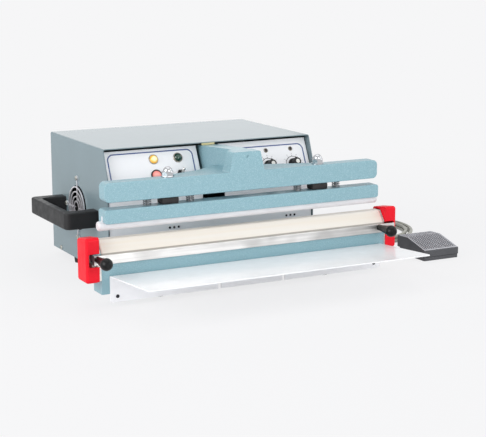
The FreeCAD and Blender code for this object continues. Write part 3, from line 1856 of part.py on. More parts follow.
def make_terminals():
    """Insulating terminal blocks on the jaw's ends, which carry the red caps, each with its ribbon screw."""
    solids = []
    seat = cap_bottom + cap_wall + terminal_seat_gap
    section = rectangle(
        lower_front + terminal_inset,
        lower_back - terminal_inset,
        seat,
        clamp_top_z - lug_height - clamp_knob_lift,
        2.0,
    )
    upper = rectangle(
        lower_front + lug_depth + 1.0,
        lower_back - terminal_inset,
        seat,
        lower_ridge_z - 2.0,
        1.0,
    )
    middle = (lower_front + lug_depth + lower_back) / 2
    screw_z = lower_back_z - 10
    for inner_x in (left_cap_inner_x, right_cap_inner_x):
        start = lower_right_end if inner_x > 0 else -lower_left_end
        end = abs(inner_x) + terminal_reach
        plate_end = abs(inner_x) + terminal_plate_reach
        plate = prism(lower_jaw_section(0.0, seat), "x", start, plate_end)
        gap = terminal_lug_gap
        lug_room = box(
            start - 1,
            plate_end + 1,
            lower_front - 1,
            lower_front + lug_depth + gap,
            clamp_knob_z - lug_height / 2 - gap,
            clamp_knob_z + lug_height / 2 + gap,
        )
        plate = plate.cut(lug_room)
        block = union([plate, prism(section, "x", start, end), prism(upper, "x", start, end)])
        head_at = (end, middle, screw_z)
        head_to = (end + terminal_screw_head, middle, screw_z)
        block = union([block, rod(terminal_screw_radius, head_at, head_to)])
        solids.append(block if inner_x > 0 else mirrored(block))
    return solids


def make_tray():
    """Bent sheet tray: a shelf that rises to the front and a slotted flange at the back."""
    t = tray_sheet
    run = tray_flange_front - tray_front_y
    slope = math.atan2(tray_front_z - tray_back_z, run)
    drop = t / math.cos(slope)
    rise_at = lambda y: tray_back_z + (tray_flange_front - y) * math.tan(slope)
    section = [
        (tray_flange_back, tray_flange_bottom),
        (tray_flange_back, rise_at(tray_flange_back), 2.0),
        (tray_front_y, tray_front_z),
        (tray_front_y, tray_front_z - drop),
        (tray_flange_front, rise_at(tray_flange_front) - drop, 0.5),
        (tray_flange_front, tray_flange_bottom),
    ]
    tray = prism(section, "x", -tray_half_length, tray_half_length)
    tray = round_edges(
        tray,
        tray_corner,
        lambda e: e.BoundBox.XLength < 1e-4
        and e.Length < 3 * t
        and (at_height(e, tray_flange_bottom) or at_depth(e, tray_front_y)),
    )
    cutters = []
    for sign in (-1, 1):
        x = sign * tray_slot_x
        half = tray_slot_width / 2
        slot = [
            (x - half, tray_flange_bottom - 1),
            (x + half, tray_flange_bottom - 1),
            (x + half, tray_slot_top, half - 0.05),
            (x - half, tray_slot_top, half - 0.05),
        ]
        cutters.append(prism(slot, "y", tray_flange_front - 1, tray_flange_back + 1))
        cutters.append(
            rod(
                tray_hole_radius,
                (sign * tray_hole_x, tray_flange_front - 1, tray_hole_z),
                (sign * tray_hole_x, tray_flange_back + 1, tray_hole_z),
            )
        )
    return tray.cut(cutters)


def treadle_inside():
    """Half-open inner block of the treadle, in the plane across the hinge."""
    w = pedal_wall
    return [
        (pedal_front + w, 0),
        (pedal_front + w, pedal_front_z - w),
        (pedal_kink_y, pedal_kink_z - w),
        (pedal_back - w, pedal_back_z - w),
        (pedal_back - w, 0),
    ]


def make_pedal_base():
    """Pedal base plate with a low inner wall, pin ears and rubber-edged underside."""
    plan = rectangle(pedal_left, pedal_right, pedal_front, pedal_back, pedal_corner)
    plate = prism(plan, "z", 0, pedal_base_height)
    inset = pedal_wall + pedal_inner_gap
    x0, x1 = pedal_left + inset, pedal_right - inset
    y0, y1 = pedal_front + inset, pedal_back - inset
    wall = pedal_inner_wall
    press = math.sin(math.radians(pedal_press_angle))
    wall_top_back = pedal_back_z - pedal_wall - press * (pedal_back - pedal_pin_y) - 2.0
    rim = prism(
        [
            (y0 + pedal_rim_setback, pedal_base_height - 1),
            (y0 + pedal_rim_setback, pedal_base_height + 2.0),
            (y1, wall_top_back - pedal_rim_drop),
            (y1, pedal_base_height - 1),
        ],
        "x",
        x0,
        x1,
    ).cut(box(x0 + wall, x1 - wall, y0 - 1, y1 - wall, 0, 2 * pedal_kink_z))
    ears = []
    ear_half = pedal_pin_radius + 2.2
    for x in (x0 + wall + pedal_ear_inset, x1 - wall - pedal_ear_inset - pedal_ear):
        ears.append(
            box(
                x,
                x + pedal_ear,
                pedal_pin_y - ear_half,
                pedal_pin_y + ear_half,
                pedal_base_height - 1,
                pedal_pin_z + 3.0,
            )
        )
    base = union([plate, rim] + ears)
    bore = rod(
        pedal_pin_radius,
        (pedal_left, pedal_pin_y, pedal_pin_z),
        (pedal_right, pedal_pin_y, pedal_pin_z),
    )
    entry = rod(
        relief_neck_radius(),
        (pedal_middle_x, y1 - 10, pedal_relief_z),
        (pedal_middle_x, pedal_back + 1, pedal_relief_z),
    )
    return base.cut([bore, entry])


def relief_neck_radius():
    """Radius of the strain relief's neck where it goes through a wall."""
    return relief_tip_radius + 0.4


def make_treadle():
    """Wedge-shaped treadle: a kinked top with skirts, and two bosses for the hinge pin."""
    outer_section = [
        (pedal_front, pedal_skirt_front_z),
        (pedal_front, pedal_front_z, 1.5),
        (pedal_kink_y, pedal_kink_z, 12.0),
        (pedal_back, pedal_back_z, 2.0),
        (pedal_back, pedal_skirt_back_z),
    ]
    outer = prism(outer_section, "x", pedal_left, pedal_right)
    inner = prism(treadle_inside(), "x", pedal_left + pedal_wall, pedal_right - pedal_wall)
    cap = outer.cut(inner)
    boss_radius = pedal_pin_radius + 2.0
    bosses = []
    inset = pedal_wall + pedal_inner_gap + pedal_inner_wall
    inset += pedal_ear_inset + pedal_ear + 0.5
    for x in (pedal_left + inset, pedal_right - inset - pedal_ear):
        bosses.append(
            rod(boss_radius, (x, pedal_pin_y, pedal_pin_z), (x + pedal_ear, pedal_pin_y, pedal_pin_z))
        )
        bosses.append(
            box(
                x,
                x + pedal_ear,
                pedal_pin_y - boss_radius,
                pedal_pin_y + boss_radius,
                pedal_pin_z,
                pedal_front_z,
            )
        )
    inside_only = prism(outer_section, "x", pedal_left, pedal_right)
    bosses = [b.common(inside_only) for b in bosses]
    cap = union([cap] + bosses)
    bore = rod(
        pedal_pin_radius + pedal_pin_clearance,
        (pedal_left, pedal_pin_y, pedal_pin_z),
        (pedal_right, pedal_pin_y, pedal_pin_z),
    )
    inner_room = box(
        pedal_left + pedal_wall,
        pedal_right - pedal_wall,
        pedal_front,
        pedal_back,
        0,
        2 * pedal_kink_z,
    )
    bore = bore.common(inner_room)
    relief_room = relief_flange_radius + 1.5
    gate = box(
        pedal_middle_x - relief_room,
        pedal_middle_x + relief_room,
        pedal_back - pedal_wall - 1,
        pedal_back + 1,
        0,
        pedal_relief_z + relief_room + 3.5,
    )
    return cap.cut([bore, gate])


def make_pedal_pin():
    """Hinge pin across the pedal's front."""
    inset = pedal_wall + pedal_inner_gap + pedal_inner_wall
    return rod(
        pedal_pin_radius,
        (pedal_left + inset + 5.0, pedal_pin_y, pedal_pin_z),
        (pedal_right - inset - 5.0, pedal_pin_y, pedal_pin_z),
    )


def pedal_spring_top():
    """Underside of the treadle over the pedal spring."""
    return min(pedal_kink_z, pedal_back_z) - pedal_wall - spring_end_gap - 0.3


def make_pedal_spring():
    """Compression spring under the treadle's raised end."""
    return spring(
        "pedal spring",
        pedal_middle_x - pedal_spring_offset,
        pedal_spring_y,
        pedal_base_height + spring_end_gap,
        pedal_spring_top(),
        pedal_spring_radius,
        pedal_spring_wire,
        pedal_spring_turns,
    )


def make_pedal_switch():
    """Small snap switch inside the pedal, with its button below the treadle."""
    half_x, half_y = 10.0, 5.0
    high = pedal_base_height + 9.0
    case = box(
        pedal_middle_x - half_x,
        pedal_middle_x + half_x,
        pedal_switch_y - half_y,
        pedal_switch_y + half_y,
        pedal_base_height,
        high,
    )
    slope = (pedal_kink_z - pedal_front_z) / (pedal_kink_y - pedal_front)
    roof = pedal_front_z + slope * (pedal_switch_y - 2.0 - pedal_front) - pedal_wall
    press = math.sin(math.radians(pedal_press_angle)) * (pedal_switch_y + 2.0 - pedal_pin_y)
    button = Part.makeCylinder(2.0, roof - press - 1.6 - high, Vector(pedal_middle_x, pedal_switch_y, high))
    return union([case, button])


def strain_relief(x, y, z, length, back_reach):
    """A ribbed, tapered strain relief that points along +Y from a wall."""
    flange_end = y + relief_flange_thickness
    tip = flange_end + length
    pieces = [
        rod(relief_flange_radius, (x, y, z), (x, flange_end, z)),
        cone(relief_root_radius, relief_tip_radius, (x, flange_end, z), (x, tip, z)),
        rod(relief_neck_radius(), (x, y - back_reach, z), (x, y, z)),
    ]
    grooves = []
    for i in range(4):
        at = flange_end + length * (0.18 + 0.19 * i)
        ring = rod(relief_root_radius + 2, (x, at, z), (x, at + 1.6, z))
        grooves.append(ring.cut(rod(relief_tip_radius - 0.4, (x, at - 1, z), (x, at + 3, z))))
    return union(pieces).cut(grooves)


def make_reliefs():
    """Strain reliefs on the cabinet's rear panel and on the pedal's back."""
    inset = pedal_wall + pedal_inner_gap
    return [
        strain_relief(gland_x, rear_panel_outer, gland_z, gland_relief_length, relief_neck_length),
        strain_relief(pedal_middle_x, pedal_back, pedal_relief_z, pedal_relief_length, inset),
    ]


def coil_place(t):
    """Cord coil: loops that spiral in, climb one layer at the turn, and spiral out on top."""
    total = coil_entry - coil_leave + 2 * math.pi * coil_loops
    half = total / 2
    angle_run = total * t
    to_middle = abs(angle_run - half)
    climb = math.pi / 2
    inwards = (half - max(to_middle, 0.0)) / (2 * math.pi)
    soft = climb / (2 * math.pi)
    if inwards > half / (2 * math.pi) - soft:
        past = (half / (2 * math.pi)) - inwards
        inwards = half / (2 * math.pi) - soft / 2 - past * past / (2 * soft)
    radius = coil_outer_radius - coil_pitch * inwards
    share = min(max((angle_run - half + climb) / (2 * climb), 0.0), 1.0)
    rise = coil_layer_rise * (3 * share**2 - 2 * share**3)
    angle = coil_entry - angle_run
    return Vector(
        coil_centre_x + radius * math.cos(angle),
        coil_centre_y + radius * math.sin(angle),
        cord_lie_z + rise,
    )


def make_cord_coil():
    """The coil of pedal cord as one unbroken tube."""
    total = coil_entry - coil_leave + 2 * math.pi * coil_loops
    quarters = int(round(total / (math.pi / 2)))
    stations = [i / quarters for i in range(quarters + 1)]
    edges, start, way, end, end_way = curve_edges(coil_place, stations)
    straight = 2 * cord_radius
    first = Part.LineSegment(start - way * straight, start).toShape()
    last = Part.LineSegment(end, end + end_way * straight).toShape()
    path = [first] + edges + [last]
    samples_per_turn = 60
    count = int(samples_per_turn * total / (2 * math.pi))
    samples = [coil_place(i / count) for i in range(count + 1)]
    print_self_gap("cord coil", samples, samples_per_turn // 2, cord_radius)
    length = sum(edge.Length for edge in path)
    print(f"cord coil length {length:.0f} mm")
    ends = (start - way * straight, way, end + end_way * straight, end_way)
    return tube(path, start - way * straight, way, cord_radius), ends


def routed_cord(name, points):
    """A cord along straight runs with the largest tangent arcs that the runs allow."""
    share = 0.45
    points = [Vector(*p) for p in points]
    edges = []
    radii = []
    here = points[0]
    for i in range(1, len(points) - 1):
        back, ahead = points[i - 1] - points[i], points[i + 1] - points[i]
        shorter = min(back.Length, ahead.Length)
        turn = math.pi - back.getAngle(ahead)
        radius = share * shorter / math.tan(turn / 2)
        radii.append(radius)
        start, middle, end = corner_points(points[i - 1], points[i], points[i + 1], radius)
        edges.append(Part.LineSegment(here, start).toShape())
        edges.append(Part.Arc(start, middle, end).toShape())
        here = end
    edges.append(Part.LineSegment(here, points[-1]).toShape())
    way = (points[1] - points[0]).normalize()
    cord = tube(edges, points[0], way, cord_radius)
    length = sum(edge.Length for edge in edges)
    expected = math.pi * cord_radius**2 * length
    shown = [round(r) for r in radii]
    print(f"{name}: radii {shown} mm, length {length:.0f} mm, volume ratio {cord.Volume / expected:.4f}")
    return cord


def make_cords():
    """Cord from the cabinet to the coil, the coil, and the cord from the coil to the pedal."""
    coil, (start, way, end, end_way) = make_cord_coil()
    lead_in = [tuple(start - way * coil_lead_in), tuple(start)]
    lead_out = [tuple(end), tuple(end + end_way * coil_lead_out)]
    first = routed_cord("cord from cabinet", cabinet_route + lead_in)
    last = routed_cord("cord to pedal", lead_out + pedal_route)
    return first, coil, last


cord_names = ("cord_from_cabinet", "cord_coil", "cord_to_pedal")


def build():
    """Every node's solids by name, in the building frame."""
    first, coil, last = make_cords()
    return {
        "hood": [make_hood()],
        "base_pan": [make_base_pan()],
        "rear_panel": [make_rear_panel()],
        "left_front_panel": [make_front_panel(-1)],
        "right_front_panel": [make_front_panel(1)],
        "rubber_feet": make_feet(),
        "case_screws": make_case_screws(),
        "side_handles": [make_handle(-1), make_handle(1)],
        "fan_frame": [make_fan_frame()],
        "fan_rotor": [make_fan_rotor()],
        "fan_guard": [make_fan_guard()],
        "amber_lamp": [make_lamp(left_column_x)],
        "green_lamp": [make_lamp(left_second_x)],
        "lamp_bezels": make_bezels(),
        "indicator_leds": make_leds(),
        "switch_bodies": make_switch_bodies(),
        "power_rocker": [make_rocker()],
        "mode_toggle": [make_toggle()],
        "heat_timer_knob": [make_timer_knob(heat_knob_x)],
        "cool_timer_knob": [make_timer_knob(cool_knob_x)],
        "timer_board": [make_timer_board()],
        "arm_casting": [make_arm()],
        "pivot_shaft": [make_pivot_shaft()],
        "pivot_brackets": make_pivot_brackets(),
        "pivot_bushes": make_bushes(),
        "stop_bar": [make_stop_bar()],
        "solenoid_frame": [make_solenoid_frame()],
        "solenoid_coil": [make_solenoid_coil()],
        "solenoid_plunger": [make_plunger()],
        "clevis_pin": [make_clevis_pin()],
        "return_spring": [make_return_spring()],
        "arm_switch": [make_arm_switch()],
        "transformer_core": [make_transformer_core()],
        "transformer_winding": [make_transformer_winding()],
        "power_inlet": [make_power_inlet()],
        "upper_jaw_bar": [make_jaw_bar()],
        "pressure_rod": [make_pressure_rod()],
        "suspension_bolts": make_suspension_bolts(),
        "cap_nuts": make_cap_nuts(),
        "buffer_blocks": make_buffers(),
        "jaw_springs": make_jaw_springs(),
        "lower_jaw_casting": [make_lower_jaw()],
        "heating_element": [make_heating_element()],
        "release_cloth": [make_release_cloth()],
        "clamp_bar": [make_clamp_bar()],
        "left_clamp_knob": [make_clamp_knob(left_clamp_knob_x)],
        "right_clamp_knob": [make_clamp_knob(right_clamp_knob_x)],
        "left_end_cap": [make_end_cap(left_cap_inner_x)],
        "right_end_cap": [make_end_cap(right_cap_inner_x)],
        "terminal_blocks": make_terminals(),
        "work_tray": [make_tray()],
        "pedal_base": [make_pedal_base()],
        "pedal_treadle": [make_treadle()],
        "pedal_pin": [make_pedal_pin()],
        "pedal_spring": [make_pedal_spring()],
        "pedal_switch": [make_pedal_switch()],
        "strain_reliefs": make_reliefs(),
        "cord_from_cabinet": [first],
        "cord_coil": [coil],
        "cord_to_pedal": [last],
    }


def origin_shift(nodes):
    """The move that puts the origin under the middle of the machine, with the cord left out."""
    whole = FreeCAD.BoundBox()
    for name, solids in nodes.items():
        if name not in cord_names:
            for solid in solids:
                whole.add(solid.optimalBoundingBox(False))
    return Vector(-(whole.XMin + whole.XMax) / 2, -(whole.YMin + whole.YMax) / 2, -whole.ZMin)


def main():
    """Build the nodes, move them to the origin and write one file for each."""
    os.makedirs("parts", exist_ok=True)
    nodes = build()
    shift = origin_shift(nodes)
    print(f"origin shift {shift.x:.3f} {shift.y:.3f} {shift.z:.3f}")
    for name, solids in nodes.items():
        placed = [moved(solid, shift.x, shift.y, shift.z) for solid in solids]
        shape = placed[0] if len(placed) == 1 else Part.makeCompound(placed)
        shape.exportStep(f"parts/{name}.step")
    return nodes, shift


if __name__ == "__main__":
    main()
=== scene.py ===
"""Finishes, cord, cloth, springs, printing and stage of a tabletop impulse heat sealer."""

import json
import math

import bmesh
import bpy
from bpy.props import FloatProperty, FloatVectorProperty, IntProperty, PointerProperty
from mathutils import Euler, Matrix, Vector


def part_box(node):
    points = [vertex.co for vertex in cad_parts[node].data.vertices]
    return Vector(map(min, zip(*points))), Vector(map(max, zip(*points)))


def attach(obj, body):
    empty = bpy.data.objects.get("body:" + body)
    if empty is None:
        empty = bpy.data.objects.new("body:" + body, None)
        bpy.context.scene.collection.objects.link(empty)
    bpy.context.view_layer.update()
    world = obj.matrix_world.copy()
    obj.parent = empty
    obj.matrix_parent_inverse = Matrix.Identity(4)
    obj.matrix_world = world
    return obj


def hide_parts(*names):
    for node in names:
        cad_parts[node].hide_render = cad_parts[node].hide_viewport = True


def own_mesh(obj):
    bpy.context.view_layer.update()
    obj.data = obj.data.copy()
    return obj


bl_info = {
    "name": "Impulse heat sealer",
    "version": (1, 0, 0),
    "blender": (4, 5, 0),
    "location": "View3D > Sidebar > Sealer",
    "description": "Finishes, cord, cloth, springs, printing and stage of an impulse heat sealer",
    "category": "Object",
}

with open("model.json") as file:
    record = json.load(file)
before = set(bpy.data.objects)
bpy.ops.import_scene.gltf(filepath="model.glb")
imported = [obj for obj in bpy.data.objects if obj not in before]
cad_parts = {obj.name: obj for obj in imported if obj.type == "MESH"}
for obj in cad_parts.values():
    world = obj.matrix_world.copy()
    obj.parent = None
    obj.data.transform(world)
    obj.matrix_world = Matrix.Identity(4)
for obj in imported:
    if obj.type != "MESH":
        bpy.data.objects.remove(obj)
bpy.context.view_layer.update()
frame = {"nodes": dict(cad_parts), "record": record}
slot_of = {part["node"]: part["material_slot"] for part in frame["record"]["subparts"]}
arm_low, arm_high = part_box("arm_casting")
bar_middle_x = (arm_low.x + arm_high.x) / 2
bar_front_y = arm_low.y
MM = 0.001
# Each front panel leans back above a fold that is so far behind the bar's front and so high.
PANEL_LEAN = math.radians(24.8)
PANEL_FOLD = (121.0, 152.5)
PANEL_TURN = Euler((math.pi / 2 - PANEL_LEAN, 0, 0))
# Bolts, springs and buffers of the upper jaw stand in one line, so far behind the bar's front.
BOLT_LINE = 12
# Places on the front panels, in millimetres across and up.
LAMPS_X = (-101, -57)
DIALS_X = (109, 157)
LOWER_ROW, UPPER_ROW = 170, 195


def at(x, y, z):
    """A point in the model's frame from millimetres off the floor below the arm bar's front middle."""
    return Vector((bar_middle_x + x * MM, bar_front_y + y * MM, z * MM))


def on_panel(x, z, lift=0.0):
    """A point on the leaning part of a front panel, or a little in front of it."""
    y = PANEL_FOLD[0] + (z - PANEL_FOLD[1]) * math.tan(PANEL_LEAN)
    return at(x, y - lift * math.cos(PANEL_LEAN), z + lift * math.sin(PANEL_LEAN))


def linear(value):
    """An sRGB hex value as the linear colour that shaders take."""
    parts = []
    for i in (1, 3, 5):
        c = int(value[i : i + 2], 16) / 255
        parts.append(c / 12.92 if c <= 0.04045 else ((c + 0.055) / 1.055) ** 2.4)
    return (*parts, 1.0)


def colour(label, value, about):
    """A colour property from a hex value."""
    return FloatVectorProperty(
        name=label, description=about, default=linear(value), subtype="COLOR", size=4, min=0, max=1
    )


def length(label, value, about):
    """A length property from millimetres."""
    return FloatProperty(
        name=label, description=about, default=value * MM, min=0, unit="LENGTH", precision=5
    )


class SealerColours(bpy.types.PropertyGroup):
    """Colours of the finishes"""

    hood: colour("Hood", "#798A90", "Powder coat of the hood and rear panel")
    casting: colour("Castings", "#84ABB6", "Hammered enamel of the arm and jaws")
    fleck: colour("Enamel flecks", "#B6CED3", "Bright flakes in the hammered enamel")
    panel: colour("Panels", "#F9FAFD", "Satin enamel of the two front panels")
    border: colour("Border line", "#4A5F94", "Printed line round each front panel")
    print: colour("Dial printing", "#2E3238", "Ticks and numerals round the timer knobs")
    cap: colour("End caps", "#E31226", "Moulded caps on the lower jaw's ends")
    cloth: colour("Release cloth", "#E3DFD8", "Coated glass cloth over the lower jaw")
    silicone: colour("Pressure rod", "#DAD9DC", "Silicone rubber of the pressure rod")
    handle: colour("Black mouldings", "#1B1B1D", "Handles, knobs and fan")
    rubber: colour("Rubber", "#171414", "Feet and buffer blocks")
    tray: colour("Work tray", "#F3F4F6", "Stove enamel of the work tray")
    # One grey rubber makes the tread: its rim and bumps are painted paler as a highlight and the pad
    # between them darker as shade.
    pedal: colour("Pedal tread", "#BEBFC5", "Rim and bumps of the foot pedal's rubber tread")
    pedal_pad: colour("Pedal pad", "#66676C", "Rubber between the bumps of the foot pedal's tread")
    pedal_side: colour("Pedal", "#47484C", "Treadle and base of the foot pedal")
    cord: colour("Cord", "#A3A39A", "Jacket of the pedal cord")
    stop_bar: colour("Stop bar", "#E4D9A8", "Yellow passivated zinc of the stop bar")
    amber: colour("Amber lamp", "#DBA637", "Rim of the lit amber lens")
    amber_core: colour("Amber lamp core", "#FCEDB2", "Middle of the lit amber lens")
    green: colour("Green lamp", "#133529", "Unlit green lens")
    floor: colour("Floor", "#F6F6F7", "Floor and backdrop")


class SealerSizes(bpy.types.PropertyGroup):
    """Sizes of what is made here"""

    cord_diameter: length("Cord diameter", 6.0, "Outside of the pedal cord's jacket")
    cloth_thickness: length("Cloth thickness", 0.3, "Coated glass cloth")
    cloth_wave: length("Cloth waviness", 0.35, "How far the slack cloth stands off its seat")
    border_line: length("Border line width", 2.1, "Printed line round each front panel")
    border_corner: length("Border corner", 10.0, "Corner radius of the printed line")
    ink: length("Ink thickness", 0.08, "How far printing stands off the enamel")
    dial_ring: length("Dial arc", 13.5, "Radius of the printed arc round each timer knob")
    dial_line: length("Dial arc width", 0.9, "Printed arc round each timer knob")
    tick_length: length("Tick length", 2.4, "Dial ticks")
    tick_width: length("Tick width", 0.8, "Dial ticks")
    tick_radius: length("Tick circle", 13.6, "Inner radius of the dial ticks")
    tick_count: IntProperty(name="Ticks", description="Ticks on each dial", default=11, min=2)
    numeral_height: length("Numeral height", 2.8, "Dial numerals")
    inlay_radius: length("Knob inlay", 3.7, "Disc let into each timer knob's top")
    tread_rim: length("Tread rim", 2.4, "Smooth rim round the pedal's rubber tread")
    tread_bump: length("Tread bump", 3.2, "Width of each bump on the pedal's rubber tread")
    tread_pitch: length("Tread pitch", 4.7, "Spacing of the bumps, drawn wider so that they show")
    jaw_spring_wire: length("Jaw spring wire", 1.5, "Wire of the four jaw springs")
    return_spring_wire: length("Return spring wire", 2.0, "Wire of the arm's return spring")
    pedal_spring_wire: length("Pedal spring wire", 1.4, "Wire of the pedal spring")
    magnet_wire: length("Magnet wire", 1.3, "Turns of the windings, drawn thicker to show")
    screw_recess: length("Screw recess", 4.2, "Width of the cross recess in each case screw")
    hammer_cell: length("Hammer cell", 2.4, "Cells of the hammered enamel")
    peel_cell: length("Orange peel", 1.6, "Ripple of the powder coat")
    weave_pitch: length("Cloth weave", 1.1, "Drawn thread pitch, twice the real one so that it shows")


def sizes():
    """The size properties."""
    return bpy.context.scene.sealer_sizes


def colours():
    """The colour properties."""
    return bpy.context.scene.sealer_colours


def add(tree, kind, inputs=None, to=None, **settings):
    """Add a node. An input takes a value, an output, or a node that stands for its first output."""
    node = tree.nodes.new(kind)
    for key, value in settings.items():
        setattr(node, key, value)
    for key, value in (inputs or {}).items():
        if isinstance(value, bpy.types.Node):
            value = value.outputs[0]
        if isinstance(value, bpy.types.NodeSocket):
            tree.links.new(value, node.inputs[key])
        else:
            node.inputs[key].default_value = value
    if to is not None:
        tree.links.new(node.outputs[0], to)
    return node


def start_material(name):
    """An empty material with its shader's inputs, and the object coordinates."""
    material = bpy.data.materials.new(name)
    material.use_nodes = True
    tree = material.node_tree
    tree.nodes.clear()
    shader = add(tree, "ShaderNodeBsdfPrincipled")
    add(tree, "ShaderNodeOutputMaterial", {"Surface": shader})
    place = add(tree, "ShaderNodeTexCoord").outputs["Object"]
    return material, tree, shader.inputs, place


def set_surface(surface, **values):
    """Set constants on the shader's own inputs."""
    for key, value in values.items():
        surface[key.replace("_", " ")].default_value = value


def shade(base, share):
    """A colour made darker or lighter by a share of itself."""
    return (*(min(c * share, 1) for c in base[:3]), 1)


def vary(tree, surface, place, base, spread, size):
    """Drift the colour gently between a darker and a lighter one over a real size."""
    noise = add(
        tree,
        "ShaderNodeTexNoise",
        {"Vector": place, "Scale": 1 / size, "Detail": 3.0, "Roughness": 0.55},
    )
    ramp = add(tree, "ShaderNodeValToRGB", {"Fac": noise}, to=surface["Base Color"])
    first, last = ramp.color_ramp.elements
    first.position, first.color = 0.3, shade(base, 1 - spread)
    last.position, last.color = 0.7, shade(base, 1 + spread)


def roughen(tree, surface, place, low, high, size):
    """Let the roughness drift over a real size, as handled surfaces do."""
    noise = add(tree, "ShaderNodeTexNoise", {"Vector": place, "Scale": 1 / size, "Detail": 4.0})
    add(
        tree,
        "ShaderNodeMapRange",
        {"Value": noise, "From Min": 0.3, "From Max": 0.7, "To Min": low, "To Max": high},
        to=surface["Roughness"],
    )


def powder_coat(name, base):
    """Powder-coated sheet steel: satin, with the faint ripple that baking leaves."""
    material, tree, surface, place = start_material(name)
    vary(tree, surface, place, base, spread=0.025, size=90 * MM)
    roughen(tree, surface, place, 0.4, 0.5, size=30 * MM)
    ripple = add(
        tree, "ShaderNodeTexNoise", {"Vector": place, "Scale": 1 / sizes().peel_cell, "Detail": 1.0}
    )
    add(
        tree,
        "ShaderNodeBump",
        {"Height": ripple, "Strength": 0.5, "Distance": 0.12 * MM},
        to=surface["Normal"],
    )
    set_surface(surface, Specular_IOR_Level=0.0, Coat_Weight=1.0, Coat_IOR=1.3, Coat_Roughness=0.22)
    return material


def hammered_enamel(name, base, fleck):
    """Hammered enamel on cast iron: bright flakes gathered in cells, glossy between its dimples."""
    material, tree, surface, place = start_material(name)
    cell = sizes().hammer_cell
    warp = add(tree, "ShaderNodeTexNoise", {"Vector": place, "Scale": 0.6 / cell, "Detail": 2.0})
    shifted = add(
        tree,
        "ShaderNodeVectorMath",
        {0: warp.outputs["Color"], 1: (cell * 0.9,) * 3, 2: place},
        operation="MULTIPLY_ADD",
    )
    cells = add(
        tree,
        "ShaderNodeTexVoronoi",
        {"Vector": shifted, "Scale": 1 / cell, "Smoothness": 0.5, "Randomness": 1.0},
        feature="SMOOTH_F1",
    )
    flakes = add(
        tree,
        "ShaderNodeTexNoise",
        {"Vector": place, "Scale": 1 / (cell * 0.55), "Detail": 4.0, "Roughness": 0.7},
    )
    ramp = add(tree, "ShaderNodeValToRGB", {"Fac": flakes}, to=surface["Base Color"])
    first, last = ramp.color_ramp.elements
    first.position, first.color = 0.34, shade(base, 0.86)
    last.position, last.color = 0.76, fleck
    ramp.color_ramp.elements.new(0.54).color = base
    roughen(tree, surface, place, 0.34, 0.5, size=cell * 2)
    add(
        tree,
        "ShaderNodeBump",
        {"Height": cells, "Strength": 0.45, "Distance": 0.4 * MM},
        to=surface["Normal"],
    )
    set_surface(surface, Metallic=0.12, Coat_Weight=0.25, Coat_Roughness=0.2)
    return material


def enamel(name, base, rough, cell, depth, coat, shine=0.5):
    """Stoved enamel on sheet steel: flat colour that drifts a little, with a sheen or a gloss."""
    material, tree, surface, place = start_material(name)
    vary(tree, surface, place, base, spread=0.012, size=50 * MM)
    roughen(tree, surface, place, rough * 0.85, rough * 1.15, size=20 * MM)
    grain = add(tree, "ShaderNodeTexNoise", {"Vector": place, "Scale": 1 / cell, "Detail": 1.0})
    add(
        tree,
        "ShaderNodeBump",
        {"Height": grain, "Strength": 0.4, "Distance": depth},
        to=surface["Normal"],
    )
    set_surface(surface, Coat_Weight=coat, Coat_Roughness=rough * 0.4, Specular_IOR_Level=shine)
    return material


def drawn_metal(name, base, rough, grain, along=None, depth=0.03 * MM, run=60, dark=0.9, patch=None):
    """Bare or plated metal with the fine lines of drawing, grinding or brushing along one axis."""
    material, tree, surface, place = start_material(name)
    # Real lines are a few hundredths of a millimetre apart, so they are drawn coarser to show.
    stretch = [1 / grain] * 3
    if along is not None:
        stretch[along] = 1 / (grain * run)
    lines = add(tree, "ShaderNodeMapping", {"Vector": place, "Scale": stretch})
    noise = add(
        tree, "ShaderNodeTexNoise", {"Vector": lines, "Scale": 1.0, "Detail": 4.0, "Roughness": 0.6}
    )
    ramp = add(tree, "ShaderNodeValToRGB", {"Fac": noise}, to=surface["Base Color"])
    first, last = ramp.color_ramp.elements
    first.position, first.color = 0.25, shade(base, dark)
    last.position, last.color = 0.75, shade(base, 1.05)
    # Patches darken the metal's colour along its length: painted reflection, standing in for the uneven
    # mirror image of a wavy strip.
    if patch:
        wave_patches = add(tree, "ShaderNodeTexNoise", {"Vector": place, "Scale": 1 / patch, "Detail": 1.0})
        reflection_dip = add(
            tree,
            "ShaderNodeMapRange",
            {"Value": wave_patches, "From Min": 0.36, "From Max": 0.6, "To Min": 0.72},
        )
        add(
            tree,
            "ShaderNodeVectorMath",
            {0: ramp, "Scale": reflection_dip},
            to=surface["Base Color"],
            operation="SCALE",
        )
    low, high = rough * 0.8, rough * 1.25
    add(
        tree,
        "ShaderNodeMapRange",
        {"Value": noise, "From Min": 0.3, "From Max": 0.7, "To Min": low, "To Max": high},
        to=surface["Roughness"],
    )
    add(
        tree,
        "ShaderNodeBump",
        {"Height": noise, "Strength": 0.35, "Distance": depth},
        to=surface["Normal"],
    )
    set_surface(surface, Metallic=1.0)
    return material


def moulded(name, base, rough, grain, depth, gloss=0.0, shine=0.5):
    """Moulded plastic or rubber: a spark-eroded grain from the tool and gently uneven shine."""
    material, tree, surface, place = start_material(name)
    vary(tree, surface, place, base, spread=0.06, size=40 * MM)
    roughen(tree, surface, place, rough * 0.85, min(rough * 1.15, 1), size=15 * MM)
    # Real tool grain is about 0.2 mm across, so it is drawn coarser to show.
    pits = add(tree, "ShaderNodeTexVoronoi", {"Vector": place, "Scale": 1 / grain}, feature="F1")
    add(
        tree,
        "ShaderNodeBump",
        {"Height": pits, "Strength": 0.4, "Distance": depth},
        to=surface["Normal"],
    )
    set_surface(surface, Coat_Weight=gloss, Coat_Roughness=0.08, Specular_IOR_Level=shine)
    return material


